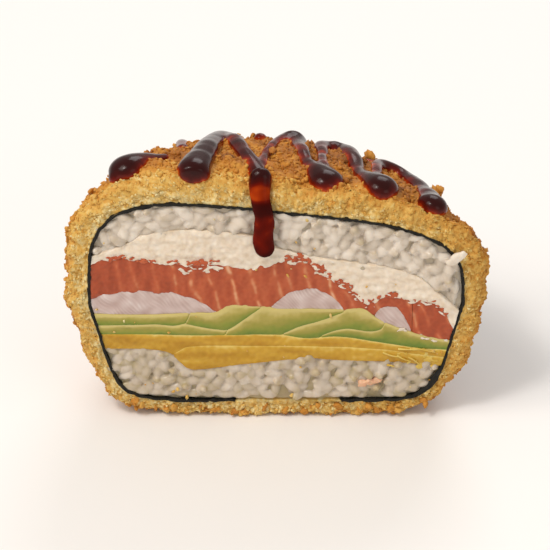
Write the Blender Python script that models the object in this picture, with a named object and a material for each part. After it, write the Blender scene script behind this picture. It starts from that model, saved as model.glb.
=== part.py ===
"""Half of a deep-fried sushi burger, cut down the middle and resting on its base.

A patty of sushi rice, salmon, shrimp, avocado and mango is wrapped in nori, rolled in panko crumb,
fried, drizzled with a thick sweet soy glaze and cut in two. The cut face looks along -Y. Each layer
runs from the cut face to the back of the wrapping. Metres, +Z up, origin on the resting face.
"""

import math
import random

import bmesh
import bpy
from mathutils import Matrix, Vector, noise

for old in list(bpy.data.objects):
    bpy.data.objects.remove(old)

MM = 0.001

# Driving dimensions of the wrapped filling.
HALF_WIDTH = 45.5 * MM
WAIST_Z = 34.0 * MM  # height of its widest level above the table
RISE = 26.2 * MM  # waist to the top of the filling
DROP = 28.3 * MM  # waist to its flat underside
REACH = 44.5 * MM  # cut face to the rearmost grain
CUT_Y = -26.0 * MM  # the cut face's plane
# Squareness of the outline's crown at the cut, of its crown further back and of its base. These are
# exponents of superellipses: 2 is round and more is boxier. The coat is rounder than what it wraps.
WRAPPED_SQUARENESS = (3.8, 2.5, 8.0)
COATED_SQUARENESS = (3.4, 2.3, 4.8)
SHOULDER = 0.43  # share of the way back over which the crown takes its rear squareness
PLAN_ROUNDNESS = 2.15
CROWN_ROUNDNESS = 2.15
SOLE_SQUARENESS = 4.6
LEAN = 0.2  # how much lower the crown is on the right than in the middle, and higher on the left
LEAN_GROWTH = 0.3  # how much more it leans at the rear
TAPER = 0.155  # how far the flanks draw in on the way down

# Wrapping, and the clearance between neighbouring solids.
GAP = 0.3 * MM
SEAM_TOLERANCE = 0.05 * MM
NORI = 0.8 * MM
CRUST_SIDE = 5.1 * MM
CRUST_TOP = 6.4 * MM
CRUST_REAR = 6.0 * MM
CRUST_BASE = 5.0 * MM

# Pieces on the surfaces.
CRAG = 1.9 * MM
SHARDS = 26
GRAIN = Vector((3.0, 1.65, 1.6)) * MM  # half sizes of a cooked grain


class Skin:
    """The patty's surface, grown outwards by a thickness at each side."""

    def __init__(self, side=0.0, top=None, rear=None, base=None, squareness=WRAPPED_SQUARENESS):
        self.squareness = squareness
        self.width = HALF_WIDTH + side
        self.rise = RISE + (side if top is None else top)
        self.reach = REACH + (side if rear is None else rear)
        self.drop = DROP + (side if base is None else base)

    def narrowing(self, back, roundness):
        """Share of a section's size that is left at a share of the way to the back."""
        return (1.0 - min(max(back, 0.0), 1.0) ** roundness) ** (1.0 / roundness)

    def crown(self, back):
        """Squareness of the crown's outline, and how much it leans, at a share of the way to the back."""
        way = min(max(back / SHOULDER, 0.0), 1.0)
        softened = way * way * (3 - 2 * way)
        cut, rear, _ = self.squareness
        return cut + (rear - cut) * softened, LEAN * (1 + LEAN_GROWTH * max(back, 0.0))

    def point(self, turn, back):
        """The point at an angle round the cut outline and a share of the way to the back."""
        across, up = math.cos(turn), math.sin(turn)
        above = up >= 0
        power, lean = self.crown(back) if above else (self.squareness[2], 0)
        height = self.rise if above else self.drop
        radius = ((abs(across) / self.width) ** power + (abs(up) / height) ** power) ** (-1 / power)
        x = radius * across * self.narrowing(back, PLAN_ROUNDNESS)
        y = CUT_Y + self.reach * back
        if above:
            lift = radius * up * self.narrowing(back, CROWN_ROUNDNESS)
            return Vector((x, y, WAIST_Z + lift * (1 - lean * x / self.width)))
        fall = -radius * up * self.narrowing(back, SOLE_SQUARENESS)
        return Vector((x * (1 - TAPER * fall / self.drop), y, WAIST_Z - fall))

    def holds(self, point):
        """Whether a point behind the cut face lies inside this skin."""
        back = (point.y - CUT_Y) / self.reach
        plan = self.width * self.narrowing(back, PLAN_ROUNDNESS)
        if back >= 1 or plan <= 0:
            return False
        if point.z >= WAIST_Z:
            power, lean = self.crown(back)
            lift = (point.z - WAIST_Z) / (1 - lean * point.x / self.width)
            rise = self.rise * self.narrowing(back, CROWN_ROUNDNESS)
            return (abs(point.x) / plan) ** power + (lift / rise) ** power < 1
        fall = WAIST_Z - point.z
        sole = self.drop * self.narrowing(back, SOLE_SQUARENESS)
        x = abs(point.x) / (1 - TAPER * fall / self.drop)
        return (x / plan) ** self.squareness[2] + (fall / sole) ** self.squareness[2] < 1

    def over(self, x, tilt):
        """The surface point met from the waist of the cut face, in the upright plane at x, looking back
        and up by tilt: 90 degrees is the top edge of the cut, 0 the rear and less the rear's foot."""
        start = Vector((x, CUT_Y, WAIST_Z))
        ahead = Vector((0, math.cos(math.radians(tilt)), math.sin(math.radians(tilt))))
        near, far = 0.0, 2 * self.width
        for _ in range(30):
            middle = (near + far) / 2
            if self.holds(start + ahead * middle):
                near = middle
            else:
                far = middle
        return start + ahead * near


FILLING = Skin()
NORI_INSIDE = Skin(GAP)
NORI_OUTSIDE = Skin(GAP + NORI)
CRUST_INSIDE = Skin(2 * GAP + NORI)
CRUST_OUTSIDE = Skin(
    CRUST_INSIDE.width - HALF_WIDTH + CRUST_SIDE,
    top=CRUST_INSIDE.rise - RISE + CRUST_TOP,
    rear=CRUST_INSIDE.reach - REACH + CRUST_REAR,
    base=CRUST_INSIDE.drop - DROP + CRUST_BASE,
    squareness=COATED_SQUARENESS,
)


class Seam:
    """A line across the cut face where two layers meet, kept as the few (x, z) points it needs."""

    def __init__(self, height):
        self.points = [(x * MM, height(x * MM)) for x in range(-60, 61)]
        kept = 0
        while kept < len(self.points) - 2:
            (x0, z0), (x1, z1), (x2, z2) = self.points[kept : kept + 3]
            chord = z0 + (z2 - z0) * (x1 - x0) / (x2 - x0)
            if abs(z1 - chord) < SEAM_TOLERANCE * min(1.0, 3 * MM / (x2 - x0)):
                del self.points[kept + 1]
            else:
                kept += 1

    def __call__(self, x):
        x = min(max(x, self.points[0][0]), self.points[-1][0])
        for (x0, z0), (x1, z1) in zip(self.points, self.points[1:]):
            if x <= x1:
                return z0 + (z1 - z0) * (x - x0) / (x1 - x0)

    def between(self, left, right):
        inner = [point for point in self.points if left < point[0] < right]
        return [(left, self(left)), *inner, (right, self(right))]


def through(*stations):
    """A smooth seam through a few (x, z) stations in millimetres, level beyond the ends."""

    def height(x):
        x = min(max(x / MM, stations[0][0]), stations[-1][0] - 1e-6)
        i = max(k for k in range(len(stations) - 1) if stations[k][0] <= x)
        (x0, z0), (x1, z1) = stations[i], stations[i + 1]
        before, after = stations[max(i - 1, 0)], stations[min(i + 2, len(stations) - 1)]
        slope0 = (z1 - before[1]) / (x1 - before[0])
        slope1 = (after[1] - z0) / (after[0] - x0)
        run = x1 - x0
        s = (x - x0) / run
        bend = s * (1 - s) * (slope0 * run * (1 - s) - slope1 * run * s)
        chord = z0 + (z1 - z0) * s
        swing = (z1 - z0) * s * (1 - s) * (2 * s - 1)
        return (chord + swing + bend) * MM

    return Seam(height)


def kept_within(seam, low, high):
    return Seam(lambda x: min(max(seam(x), low(x)), high(x)))


# Where the layers meet on the cut face, from the top down.
ROOF = Seam(lambda x: 2 * WAIST_Z + RISE)
UNDER_TOP_RICE = through(
    (-46, 47.5), (-38, 50.5), (-32.7, 53.6), (-21.4, 55.2), (-6.3, 53.6), (1.2, 49.8), (8.7, 47.8),
    (20, 45.8), (27.6, 44.4), (35, 41.6), (39, 38), (46, 31),
)
UNDER_CHEESE = through(
    (-46, 46), (-39.5, 47.2), (-32.7, 46.7), (-26.7, 45.8), (-13.9, 45.6), (-6.3, 44.4), (-1.8, 45.3),
    (2.7, 47.1), (7.2, 46.9), (11, 43.4), (16, 40), (19.3, 37.2), (21.2, 34.6), (22.4, 33.6), (24, 34.9),
    (28, 36.4), (33, 35.2), (39, 34), (42, 31), (44, 26.5), (46, 24),
)
UNDER_FISH = through(
    (-46, 31), (-34, 30.6), (-20, 31.2), (-14.8, 31.4), (-12, 33.3), (-7, 33.4), (-2, 33), (0, 32.4),
    (8, 32.4), (17, 32.2), (20.3, 32.5), (22.4, 31.9), (24.2, 30.2), (26.4, 28.6), (29, 27.3), (33.9, 25.4),
    (38, 24), (46, 22.5),
)
UNDER_AVOCADO = through(
    (-46, 25), (-31, 25), (-20, 24.7), (0, 24.9), (8, 23.8), (15, 24.4), (23.7, 23), (35, 21), (40.7, 20.5),
    (46, 20),
)
UNDER_MANGO = through(
    (-46, 21), (-31, 20.6), (-26.4, 19.6), (-24.2, 17), (-21.8, 14.9), (-18, 14.7), (-13.9, 15.3), (-2.5, 17),
    (8.7, 17.9), (16.3, 17.4), (27.6, 17), (38.8, 16), (46, 15),
)
FLOOR = Seam(lambda x: -WAIST_Z)
BETWEEN_MANGOS = through(
    (-46, 15), (-26, 19), (-22, 21.2), (-10, 21.6), (14, 21.3), (26, 20.5), (36, 19), (46, 17.6)
)
MANGO_SEAM = kept_within(BETWEEN_MANGOS, UNDER_MANGO, UNDER_AVOCADO)

SHRIMP = [(-52, -14.6, 6.8), (-1.4, 16.8, 5.9), (24.2, 33.6, 5.6)]  # left, right, height of the back, in mm


def shrimp_backs(x):
    """The height of the shrimp above their undersides: a rounded back on each."""
    x = x / MM
    for left, right, height in SHRIMP:
        if left < x < right:
            along = 2 * (x - left) / (right - left) - 1
            return height * MM * (1 - abs(along) ** 2.6)
    return 0.0


OVER_SHRIMP = Seam(lambda x: UNDER_FISH(x) + shrimp_backs(x))

# The avocado slices lean on each other, each seam running from the avocado's underside up to its top.
AVOCADO_SEAMS = [UNDER_FISH]
for line in (
    through((-46, 27.6), (-31, 28), (-22.5, 28.4), (-20.5, 34)),
    through((-46, 27.6), (-22.5, 28), (-20, 27.5), (-14.5, 26.4), (-12, 26.4), (-8, 29.4), (-2.5, 34)),
    through((-46, 20), (-16, 24), (-12, 26.2), (-10, 36)),
    through((-46, 20), (-1.5, 24), (6, 27.4), (16, 31.2), (19, 34)),
    through((-46, 20), (8, 22.5), (12, 25), (17, 26.7), (26, 26.6), (28.5, 34)),
):
    AVOCADO_SEAMS.append(kept_within(line, UNDER_AVOCADO, AVOCADO_SEAMS[-1]))
AVOCADO_SEAMS.append(UNDER_AVOCADO)


def material(name, colour, roughness):
    """A dielectric finish with an sRGB colour given as hex."""
    made = bpy.data.materials.new(name)
    made.use_nodes = True
    shader = made.node_tree.nodes["Principled BSDF"]
    channels = [int(colour[i : i + 2], 16) / 255 for i in (0, 2, 4)]
    linear = [c / 12.92 if c <= 0.04045 else ((c + 0.055) / 1.055) ** 2.4 for c in channels]
    shader.inputs["Base Color"].default_value = (*linear, 1)
    shader.inputs["Roughness"].default_value = roughness
    shader.inputs["Metallic"].default_value = 0
    made.diffuse_color = (*linear, 1)
    return made


def new_collection(name):
    made = bpy.data.collections.new(name)
    bpy.context.scene.collection.children.link(made)
    return made


def mesh_object(name, bm, collection, finish=None):
    mesh = bpy.data.meshes.new(name)
    bm.to_mesh(mesh)
    bm.free()
    made = bpy.data.objects.new(name, mesh)
    if finish:
        mesh.materials.append(finish)
    collection.objects.link(made)
    return made


def freeze(obj):
    """Applies an object's modifiers, keeping its materials."""
    bpy.context.view_layer.update()
    graph = bpy.context.evaluated_depsgraph_get()
    mesh = bpy.data.meshes.new_from_object(obj.evaluated_get(graph))
    obj.modifiers.clear()
    old, obj.data = obj.data, mesh
    bpy.data.meshes.remove(old)


def combine(obj, operation, other, solver="EXACT"):
    """One Boolean against an object or a whole collection, applied, with the operands then removed."""
    cut = obj.modifiers.new(operation.title(), "BOOLEAN")
    cut.operation = operation
    cut.solver = solver
    if isinstance(other, bpy.types.Collection):
        cut.operand_type = "COLLECTION"
        cut.collection = other
        operands = list(other.objects)
    else:
        cut.object = other
        operands = [other]
    freeze(obj)
    for operand in operands:
        bpy.data.objects.remove(operand)
    if isinstance(other, bpy.types.Collection):
        bpy.data.collections.remove(other)


def half_body(name, skin, collection, segments=40, rings=8, finish=None, overhang=0.0):
    """A half sphere with its pole at the back, fitted to a skin, that starts on the cut face, or in front of
    it by the overhang."""
    bm = bmesh.new()
    pole_back = Matrix.Rotation(-math.pi / 2, 4, "X")
    bmesh.ops.create_uvsphere(bm, u_segments=segments, v_segments=2 * rings, radius=1, matrix=pole_back)
    everything = bm.verts[:] + bm.edges[:] + bm.faces[:]
    bmesh.ops.bisect_plane(bm, geom=everything, dist=1e-5, plane_no=(0, -1, 0), clear_outer=True)
    for vert in bm.verts:
        back = 0.0 if vert.co.y < 1e-4 else min(vert.co.y, 1.0)
        vert.co = skin.point(math.atan2(vert.co.z, vert.co.x), back)
    rim = [edge for edge in bm.edges if edge.is_boundary]
    if overhang:
        drawn_out = bmesh.ops.extrude_edge_only(bm, edges=rim)["geom"]
        for vert in drawn_out:
            if isinstance(vert, bmesh.types.BMVert):
                vert.co.y -= overhang
        rim = [edge for edge in bm.edges if edge.is_boundary]
    bmesh.ops.triangulate(bm, faces=bm.faces[:], quad_method="FIXED")  # so that nested skins bend alike
    bmesh.ops.holes_fill(bm, edges=rim)
    bmesh.ops.recalc_face_normals(bm, faces=bm.faces[:])
    return mesh_object(name, bm, collection, finish)


def band(name, under, over, left, right, collection, finish=None):
    """A flat outline on the cut face between two seams, drawn as a 2D curve and extruded both ways."""
    places = [left * MM + i * (right - left) * MM / 480 for i in range(481)]
    thick = [x for x in places if over(x) - under(x) > 3 * GAP]
    ends = thick[0], thick[-1]
    outline = [(x, z + GAP / 2) for x, z in under.between(*ends)]
    outline += [(x, z - GAP / 2) for x, z in reversed(over.between(*ends))]
    curve = bpy.data.curves.new(name + "_outline", "CURVE")
    curve.dimensions = "2D"
    curve.fill_mode = "BOTH"
    curve.extrude = 2 * REACH
    spline = curve.splines.new("POLY")
    spline.points.add(len(outline) - 1)
    for place, (x, z) in zip(spline.points, outline):
        place.co = (x, z, 0, 1)
    spline.use_cyclic_u = True
    drawn = bpy.data.objects.new(name + "_outline", curve)
    collection.objects.link(drawn)
    drawn.rotation_euler.x = math.pi / 2
    drawn.location.y = CUT_Y
    return solid_from_curve(drawn, name, collection, finish)


def layer(name, under, over, finish, left=-60, right=60):
    """A filling that runs through from the cut face to the back of the patty, between two places in mm."""
    piece = band(name, under, over, left, right, PIECES, FINISH[finish])
    combine(piece, "INTERSECT", half_body(name + "_trim", FILLING, TOOLS))
    return piece


def solid_from_curve(drawn, name, collection, finish=None):
    """A curve made a closed mesh in world space, with its caps welded."""
    bpy.context.view_layer.update()
    graph = bpy.context.evaluated_depsgraph_get()
    mesh = bpy.data.meshes.new_from_object(drawn.evaluated_get(graph))
    mesh.transform(drawn.matrix_world)
    bm = bmesh.new()
    bm.from_mesh(mesh)
    bmesh.ops.remove_doubles(bm, verts=bm.verts[:], dist=0.01 * MM)
    bmesh.ops.recalc_face_normals(bm, faces=bm.faces[:])
    bpy.data.objects.remove(drawn)
    bpy.data.meshes.remove(mesh)
    return mesh_object(name, bm, collection, finish)


def crag(point):
    """Height of the fried crumb above the crust at a point: lumps, and broken flakes on them."""
    lumps = noise.noise(point / (13 * MM))
    flakes = noise.voronoi(point / (6.5 * MM))[0][0]
    fine = noise.noise(point / (3.7 * MM))
    return CRAG * (0.5 * lumps + 0.9 * (0.4 - flakes) + 0.4 * fine)


def crust_shell():
    """The crumb coat's outside: a craggy half body that stands a little in front of the cut."""
    shell = half_body("crust", CRUST_OUTSIDE, PIECES, 80, 22, FINISH["crust"], overhang=3 * MM)
    shell.data.update()
    for vert in shell.data.vertices:
        vert.co += vert.normal * crag(vert.co)
    return shell


def add_shards(collection):
    """Single large crumbs that stand out of the coat, spread evenly by a golden-angle rule."""
    draw = random.Random(4)
    for i in range(SHARDS):
        turn = math.radians(-35 + 250 * ((i * 0.618034) % 1.0))
        back = 0.04 + 0.9 * (i + 0.5) / SHARDS
        size = draw.uniform(1.1, 1.9) * MM
        bm = bmesh.new()
        bmesh.ops.create_icosphere(bm, subdivisions=1, radius=size)
        for vert in bm.verts:
            vert.co = vert.co * draw.uniform(0.8, 1.2)
        stretch = Matrix.Diagonal((1.5, 0.9, 0.8, 1))
        heading = Matrix.Rotation(draw.uniform(0, math.tau), 4, "Z")
        spin = heading @ Matrix.Rotation(draw.uniform(0.3, 1.3), 4, "Y")
        place = Matrix.Translation(CRUST_OUTSIDE.point(turn, back))
        bmesh.ops.transform(bm, matrix=place @ spin @ stretch, verts=bm.verts[:])
        mesh_object(f"shard_{i}", bm, collection)


# The sauce over the crown, as strokes of (x in mm, tilt in degrees, half the width in mm) stations.
STROKES = [
    [(-36.3, 78, 4.4), (-31.5, 70, 2.4), (-27.5, 64, 1.3)],
    [(-20.1, 85, 3.9), (-17.5, 66, 3.0), (-15.7, 50, 2.7), (-13.2, 38, 2.6), (-10.9, 48, 2.1),
     (-7.6, 65, 2.0), (-4.3, 80, 2.3)],
    [(-3.9, 76, 1.5), (-2, 56, 1.2), (1, 42, 1.5), (4.1, 36, 2.6), (5.8, 48, 1.9), (8.0, 66, 1.8),
     (12.3, 79, 4.2)],
    [(11.8, 74, 1.5), (11.4, 52, 1.3), (12.8, 36, 2.2), (16.0, 34, 2.6), (18.7, 44, 2.4),
     (20.9, 60, 1.9), (25.6, 79, 4.1)],
    [(25.0, 72, 1.5), (24.8, 50, 1.3), (26.8, 34, 2.0), (31, 31, 2.2), (34.8, 40, 2.4), (36.9, 57, 2.8),
     (38.4, 78, 3.3)],
]
# Where it pooled: x in mm, tilt in degrees, half the width and half the length of the pool in mm.
POOLS = [
    (-36.3, 77, 4.8, 5.4), (-19.9, 84, 4.2, 3.4), (4.1, 37, 3.7, 3.2), (12.1, 76, 4.3, 5.4),
    (14.6, 35, 3.2, 3.2), (25.4, 76, 4.3, 5.4), (38.2, 77, 3.4, 4.4),
]
POOL_HEIGHT = 2.8 * MM
# Runs that slid down the back: x in mm, and the tilt at the head and at the foot.
BACK_RUNS = [(-33, 60, 8), (-23.5, 50, -10), (-13.4, 40, 6), (-4, 44, -16), (4.2, 36, 0), (14.2, 33, -20),
             (23, 38, -2), (31, 29, 6)]


def outward_at(x, tilt):
    """The crust's outward direction in the upright plane at x."""
    along = CRUST_OUTSIDE.over(x, tilt - 2) - CRUST_OUTSIDE.over(x, tilt + 2)
    return Vector((0, -along.z, along.y)).normalized()


def run_of_sauce(name, stations, collection):
    """A bead of sauce along (centre, radius) stations."""
    curve = bpy.data.curves.new(name, "CURVE")
    curve.dimensions = "3D"
    curve.bevel_depth = 1.0
    curve.bevel_resolution = 1
    curve.use_fill_caps = True
    spline = curve.splines.new("POLY")
    spline.points.add(len(stations) - 1)
    for place, (centre, radius) in zip(spline.points, stations):
        place.co = (*centre, 1)
        place.radius = radius
    drawn = bpy.data.objects.new(name, curve)
    collection.objects.link(drawn)
    return solid_from_curve(drawn, name, collection)


def lying_on_crust(stations, sunk=0.1):
    """Bead stations on the crust from (x, tilt, half width) stations, sunk by a share of their radius."""
    return [(CRUST_OUTSIDE.over(x * MM, tilt) - outward_at(x * MM, tilt) * width * MM * sunk, width * MM)
            for x, tilt, width in stations]


def add_drizzle(collection):
    """The sauce zigzag over the crown with its pools, and the runs down the back."""
    for i, stroke in enumerate(STROKES):
        run_of_sauce(f"stroke_{i}", lying_on_crust(stroke), collection)
    for i, (x, head, foot) in enumerate(BACK_RUNS):
        down = [(x * (1 + 0.04 * s), head + (foot - head) * s, 1.5 - 0.5 * s + 1.1 * s**4)
                for s in (0, 0.35, 0.7, 0.88, 1)]
        run_of_sauce(f"back_run_{i}", lying_on_crust(down), collection)
    for i, (x, tilt, wide, long) in enumerate(POOLS):
        bm = bmesh.new()
        bmesh.ops.create_uvsphere(bm, u_segments=8, v_segments=5, radius=1)
        upright = outward_at(x * MM, tilt).to_track_quat("Z", "Y").to_matrix().to_4x4()
        spread = Matrix.Diagonal((wide * MM, long * MM, POOL_HEIGHT, 1))
        place = Matrix.Translation(CRUST_OUTSIDE.over(x * MM, tilt)) @ upright @ spread
        bmesh.ops.transform(bm, matrix=place, verts=bm.verts[:])
        mesh_object(f"pool_{i}", bm, collection)


DRIP_X = -3.8 * MM
DRIP_FOOT = 49.0 * MM
DRIP_HALF_WIDTH = 2.7 * MM
DRIP_FLATNESS = 0.42


def drip():
    """The run of sauce that slid off the crown and down the cut face, clear of all but the crust."""
    top = CRUST_OUTSIDE.over(DRIP_X, 90).z
    hem = CRUST_INSIDE.over(DRIP_X, 90).z + 0.8 * MM
    face_y = CUT_Y - GAP - DRIP_FLATNESS * 1.12 * DRIP_HALF_WIDTH
    stations = [
        (CRUST_OUTSIDE.over(DRIP_X, 78), 0.7),
        (Vector((DRIP_X, CUT_Y + 0.6 * MM, top - 0.2 * MM)), 0.75),
        (Vector((DRIP_X, CUT_Y - 0.8 * MM, top - 2.2 * MM)), 0.8),
        (Vector((DRIP_X, face_y, hem)), 0.9),
    ]
    for s in (0.2, 0.4, 0.6, 0.8, 0.92, 1.0):
        swell = 0.86 + 0.26 * s * s if s < 0.9 else {0.92: 1.0, 1.0: 0.55}[s]
        stations.append((Vector((DRIP_X + 1.1 * MM * s, face_y, hem + (DRIP_FOOT - hem) * s)), swell))
    tongue = run_of_sauce("drip", [(centre, share * DRIP_HALF_WIDTH) for centre, share in stations], TOOLS)
    for vert in tongue.data.vertices:
        if vert.co.z < hem + 0.5 * MM:
            vert.co.y = face_y + (vert.co.y - face_y) * DRIP_FLATNESS
    return tongue


def make_crust():
    """The coat with its large crumbs and its sauce as one solid, opened out to take the nori and planed to
    the cut and the table."""
    shell = crust_shell()
    extras = new_collection("crust_extras")
    add_shards(extras)
    add_drizzle(extras)
    combine(shell, "UNION", extras, "MANIFOLD")
    fewer = shell.modifiers.new("Fewer", "DECIMATE")
    fewer.ratio = 0.59
    freeze(shell)
    combine(shell, "DIFFERENCE", half_body("hollow", CRUST_INSIDE, TOOLS, overhang=9 * MM))
    bm = bmesh.new()
    room = 200 * MM
    bmesh.ops.create_cube(bm, size=room, matrix=Matrix.Translation((0, CUT_Y + room / 2, room / 2)))
    combine(shell, "INTERSECT", mesh_object("room", bm, TOOLS))
    combine(shell, "UNION", drip())
    return shell


def make_nori():
    """The seaweed wrapping: a thin shell whose ends don't quite meet under the patty."""
    sheet = half_body("nori", NORI_OUTSIDE, PIECES, finish=FINISH["nori"])
    combine(sheet, "DIFFERENCE", half_body("nori_inside", NORI_INSIDE, TOOLS, overhang=3 * MM))
    bm = bmesh.new()
    under = Matrix.Translation((3 * MM, CUT_Y, WAIST_Z - DROP))
    opening = under @ Matrix.Diagonal((13 * MM, 30 * MM, 8 * MM, 1))
    bmesh.ops.create_cone(bm, cap_ends=True, segments=16, radius1=1, radius2=1, depth=1, matrix=opening)
    combine(sheet, "DIFFERENCE", mesh_object("nori_opening", bm, TOOLS))
    return sheet


def add_grains(name, under, over, seed, collection):
    """Grains of rice at true size, packed over the cut end of a rice layer in offset rows."""
    draw = random.Random(seed)
    margin = 1.7 * MM
    columns = 16
    for column in range(columns):
        x = HALF_WIDTH * (2 * (column + 0.5) / columns - 1)
        low = max(under(x), edge_height(x, above=False)) + margin
        high = min(over(x), edge_height(x, above=True)) - margin
        rows = round((high - low) / (2 * GRAIN.y)) + 1 if high > low else 0
        for row in range(rows):
            z = (low + high) / 2 if rows == 1 else low + (high - low) * row / (rows - 1)
            sway = GRAIN.x * (0.4 if row % 2 else -0.4) + draw.uniform(-0.5, 0.5) * MM
            place = Vector((x + sway, CUT_Y + draw.uniform(0.9, 1.4) * MM, z))
            if abs(place.x - DRIP_X) < DRIP_HALF_WIDTH + GRAIN.x and place.z > DRIP_FOOT - 6 * MM:
                place.y = CUT_Y + GRAIN.y + 0.1 * MM
            lie = Matrix.Rotation(draw.uniform(-0.8, 0.8), 4, "Y")
            lie = lie @ Matrix.Rotation(draw.uniform(-0.3, 0.3), 4, "Z")
            shape = lie @ Matrix.Diagonal((*GRAIN, 1)) @ Matrix.Rotation(math.pi / 2, 4, "Y")
            bm = bmesh.new()
            lying = Matrix.Translation(place) @ shape
            bmesh.ops.create_uvsphere(bm, u_segments=5, v_segments=4, radius=1, matrix=lying)
            mesh_object(f"{name}_grain_{column}_{row}", bm, collection)


def make_rice(name, under, over, seed):
    """A rice layer: a core set back from the cut with the grains that show fused on, trimmed to its place."""
    bm = bmesh.new()
    room = 4 * HALF_WIDTH
    set_back = CUT_Y + 0.9 * MM
    bmesh.ops.create_cube(bm, size=room, matrix=Matrix.Translation((0, set_back + room / 2, WAIST_Z)))
    core = mesh_object(name, bm, PIECES, FINISH["rice"])
    grains = new_collection(name + "_grains")
    add_grains(name, under, over, seed, grains)
    combine(core, "UNION", grains)
    combine(core, "INTERSECT", band(name + "_band", under, over, -60, 60, TOOLS))
    combine(core, "INTERSECT", half_body(name + "_trim", FILLING, TOOLS, overhang=4 * MM))
    return core


def edge_height(x, above):
    """Height of the filling's upper or lower edge on the cut face at x."""
    low, high = (WAIST_Z, WAIST_Z + 2 * RISE) if above else (WAIST_Z - 2 * DROP, WAIST_Z)
    for _ in range(30):
        middle = (low + high) / 2
        if FILLING.holds(Vector((x, CUT_Y, middle))) == above:
            low = middle
        else:
            high = middle
    return (low + high) / 2


PIECES = new_collection("sushi_burger_half")
TOOLS = new_collection("tools")
FINISH = {
    "crust": material("fried_panko", "C98F35", 0.8),
    "nori": material("nori_sheet", "15160F", 0.6),
    "rice": material("sushi_rice", "DDD8CB", 0.5),
    "cheese": material("cream_cheese", "EFE3CF", 0.45),
    "salmon": material("raw_salmon", "D9633A", 0.35),
    "shrimp": material("cooked_shrimp", "DBC5C0", 0.35),
    "avocado": material("avocado_flesh", "A9B84B", 0.45),
    "mango": material("ripe_mango", "E0AA25", 0.35),
}


def make_loose_grain():
    """A clump of broken grain that lies across the edge of the nori on the cut face."""
    bm = bmesh.new()
    lie = Matrix.Translation((44.2 * MM, CUT_Y - GAP - 1.15 * MM, 48.2 * MM)) @ Matrix.Rotation(0.55, 4, "Y")
    shape = lie @ Matrix.Diagonal((3.3 * MM, 1.1 * MM, 2.1 * MM, 1)) @ Matrix.Rotation(math.pi / 2, 4, "Y")
    bmesh.ops.create_uvsphere(bm, u_segments=7, v_segments=5, radius=1, matrix=shape)
    mesh_object("loose_grain", bm, PIECES, FINISH["rice"])


make_crust()
make_nori()
make_loose_grain()
make_rice("rice_upper", UNDER_TOP_RICE, ROOF, seed=11)
make_rice("rice_lower", FLOOR, UNDER_MANGO, seed=23)
layer("cream_cheese", UNDER_CHEESE, UNDER_TOP_RICE, "cheese")
layer("salmon_slab", OVER_SHRIMP, UNDER_CHEESE, "salmon", right=22.3)
layer("salmon_strip", OVER_SHRIMP, UNDER_CHEESE, "salmon", 22.6, 33.5)
layer("salmon_end", OVER_SHRIMP, UNDER_CHEESE, "salmon", left=33.8)
for number, (start, end, height) in enumerate(SHRIMP, 1):
    layer(f"shrimp_{number}", UNDER_FISH, OVER_SHRIMP, "shrimp", start, end)
for number, (over, under) in enumerate(zip(AVOCADO_SEAMS, AVOCADO_SEAMS[1:]), 1):
    layer(f"avocado_slice_{number}", under, over, "avocado")
layer("mango_slice_1", MANGO_SEAM, UNDER_AVOCADO, "mango")
layer("mango_slice_2", UNDER_MANGO, MANGO_SEAM, "mango")
for piece in PIECES.objects:
    piece.data.shade_smooth()
    piece.data.set_sharp_from_angle(angle=math.radians(40))
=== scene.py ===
# Half of a sushi burger, cut down the middle and standing on its flat underside, the cut face to the front.
# A patty of sushi rice, cream cheese, salmon, shrimp, avocado and mango is wrapped in nori, coated in panko
# crumb, deep-fried and crossed with runs of thick sweet soy glaze, one of which has slid down the cut.

import math

import bpy
import numpy as np
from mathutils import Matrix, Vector, noise
from mathutils.bvhtree import BVHTree
from mathutils.kdtree import KDTree


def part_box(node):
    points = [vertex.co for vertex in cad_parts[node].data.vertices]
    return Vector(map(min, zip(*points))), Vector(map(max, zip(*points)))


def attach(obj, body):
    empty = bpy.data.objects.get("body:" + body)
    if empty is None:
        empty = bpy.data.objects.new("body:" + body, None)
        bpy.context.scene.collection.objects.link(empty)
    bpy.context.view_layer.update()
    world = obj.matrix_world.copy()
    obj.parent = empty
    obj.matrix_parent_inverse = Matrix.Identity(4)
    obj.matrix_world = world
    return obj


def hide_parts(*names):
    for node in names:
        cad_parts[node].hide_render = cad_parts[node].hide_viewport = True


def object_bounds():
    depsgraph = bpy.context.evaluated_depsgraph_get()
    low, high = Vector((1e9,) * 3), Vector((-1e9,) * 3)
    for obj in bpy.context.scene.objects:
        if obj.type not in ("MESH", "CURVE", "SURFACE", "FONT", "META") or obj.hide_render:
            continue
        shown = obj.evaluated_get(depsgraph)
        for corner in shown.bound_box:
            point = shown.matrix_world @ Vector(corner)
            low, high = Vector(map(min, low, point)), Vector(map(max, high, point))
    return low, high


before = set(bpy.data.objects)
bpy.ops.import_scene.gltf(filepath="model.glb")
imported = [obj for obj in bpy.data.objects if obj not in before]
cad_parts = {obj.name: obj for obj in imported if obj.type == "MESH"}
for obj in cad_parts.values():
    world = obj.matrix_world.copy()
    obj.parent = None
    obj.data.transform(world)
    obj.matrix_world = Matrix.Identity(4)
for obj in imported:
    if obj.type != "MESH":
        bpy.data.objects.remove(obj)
cad_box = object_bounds()

# ---- Camera, table and light ------------------------------------------------------------------------------
# The half stands on a plain pale table. A long lens looks down on the cut face. A large soft box over the
# left shoulder, a small bright window beside it, a fill from the right, one light behind and a bright room
# light it.


def linear(code):
    """An sRGB hex colour as the linear RGBA that a shader takes."""
    channels = [int(code[i : i + 2], 16) / 255 for i in (0, 2, 4)]
    return (*(c / 12.92 if c <= 0.04045 else ((c + 0.055) / 1.055) ** 2.4 for c in channels), 1.0)


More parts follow.
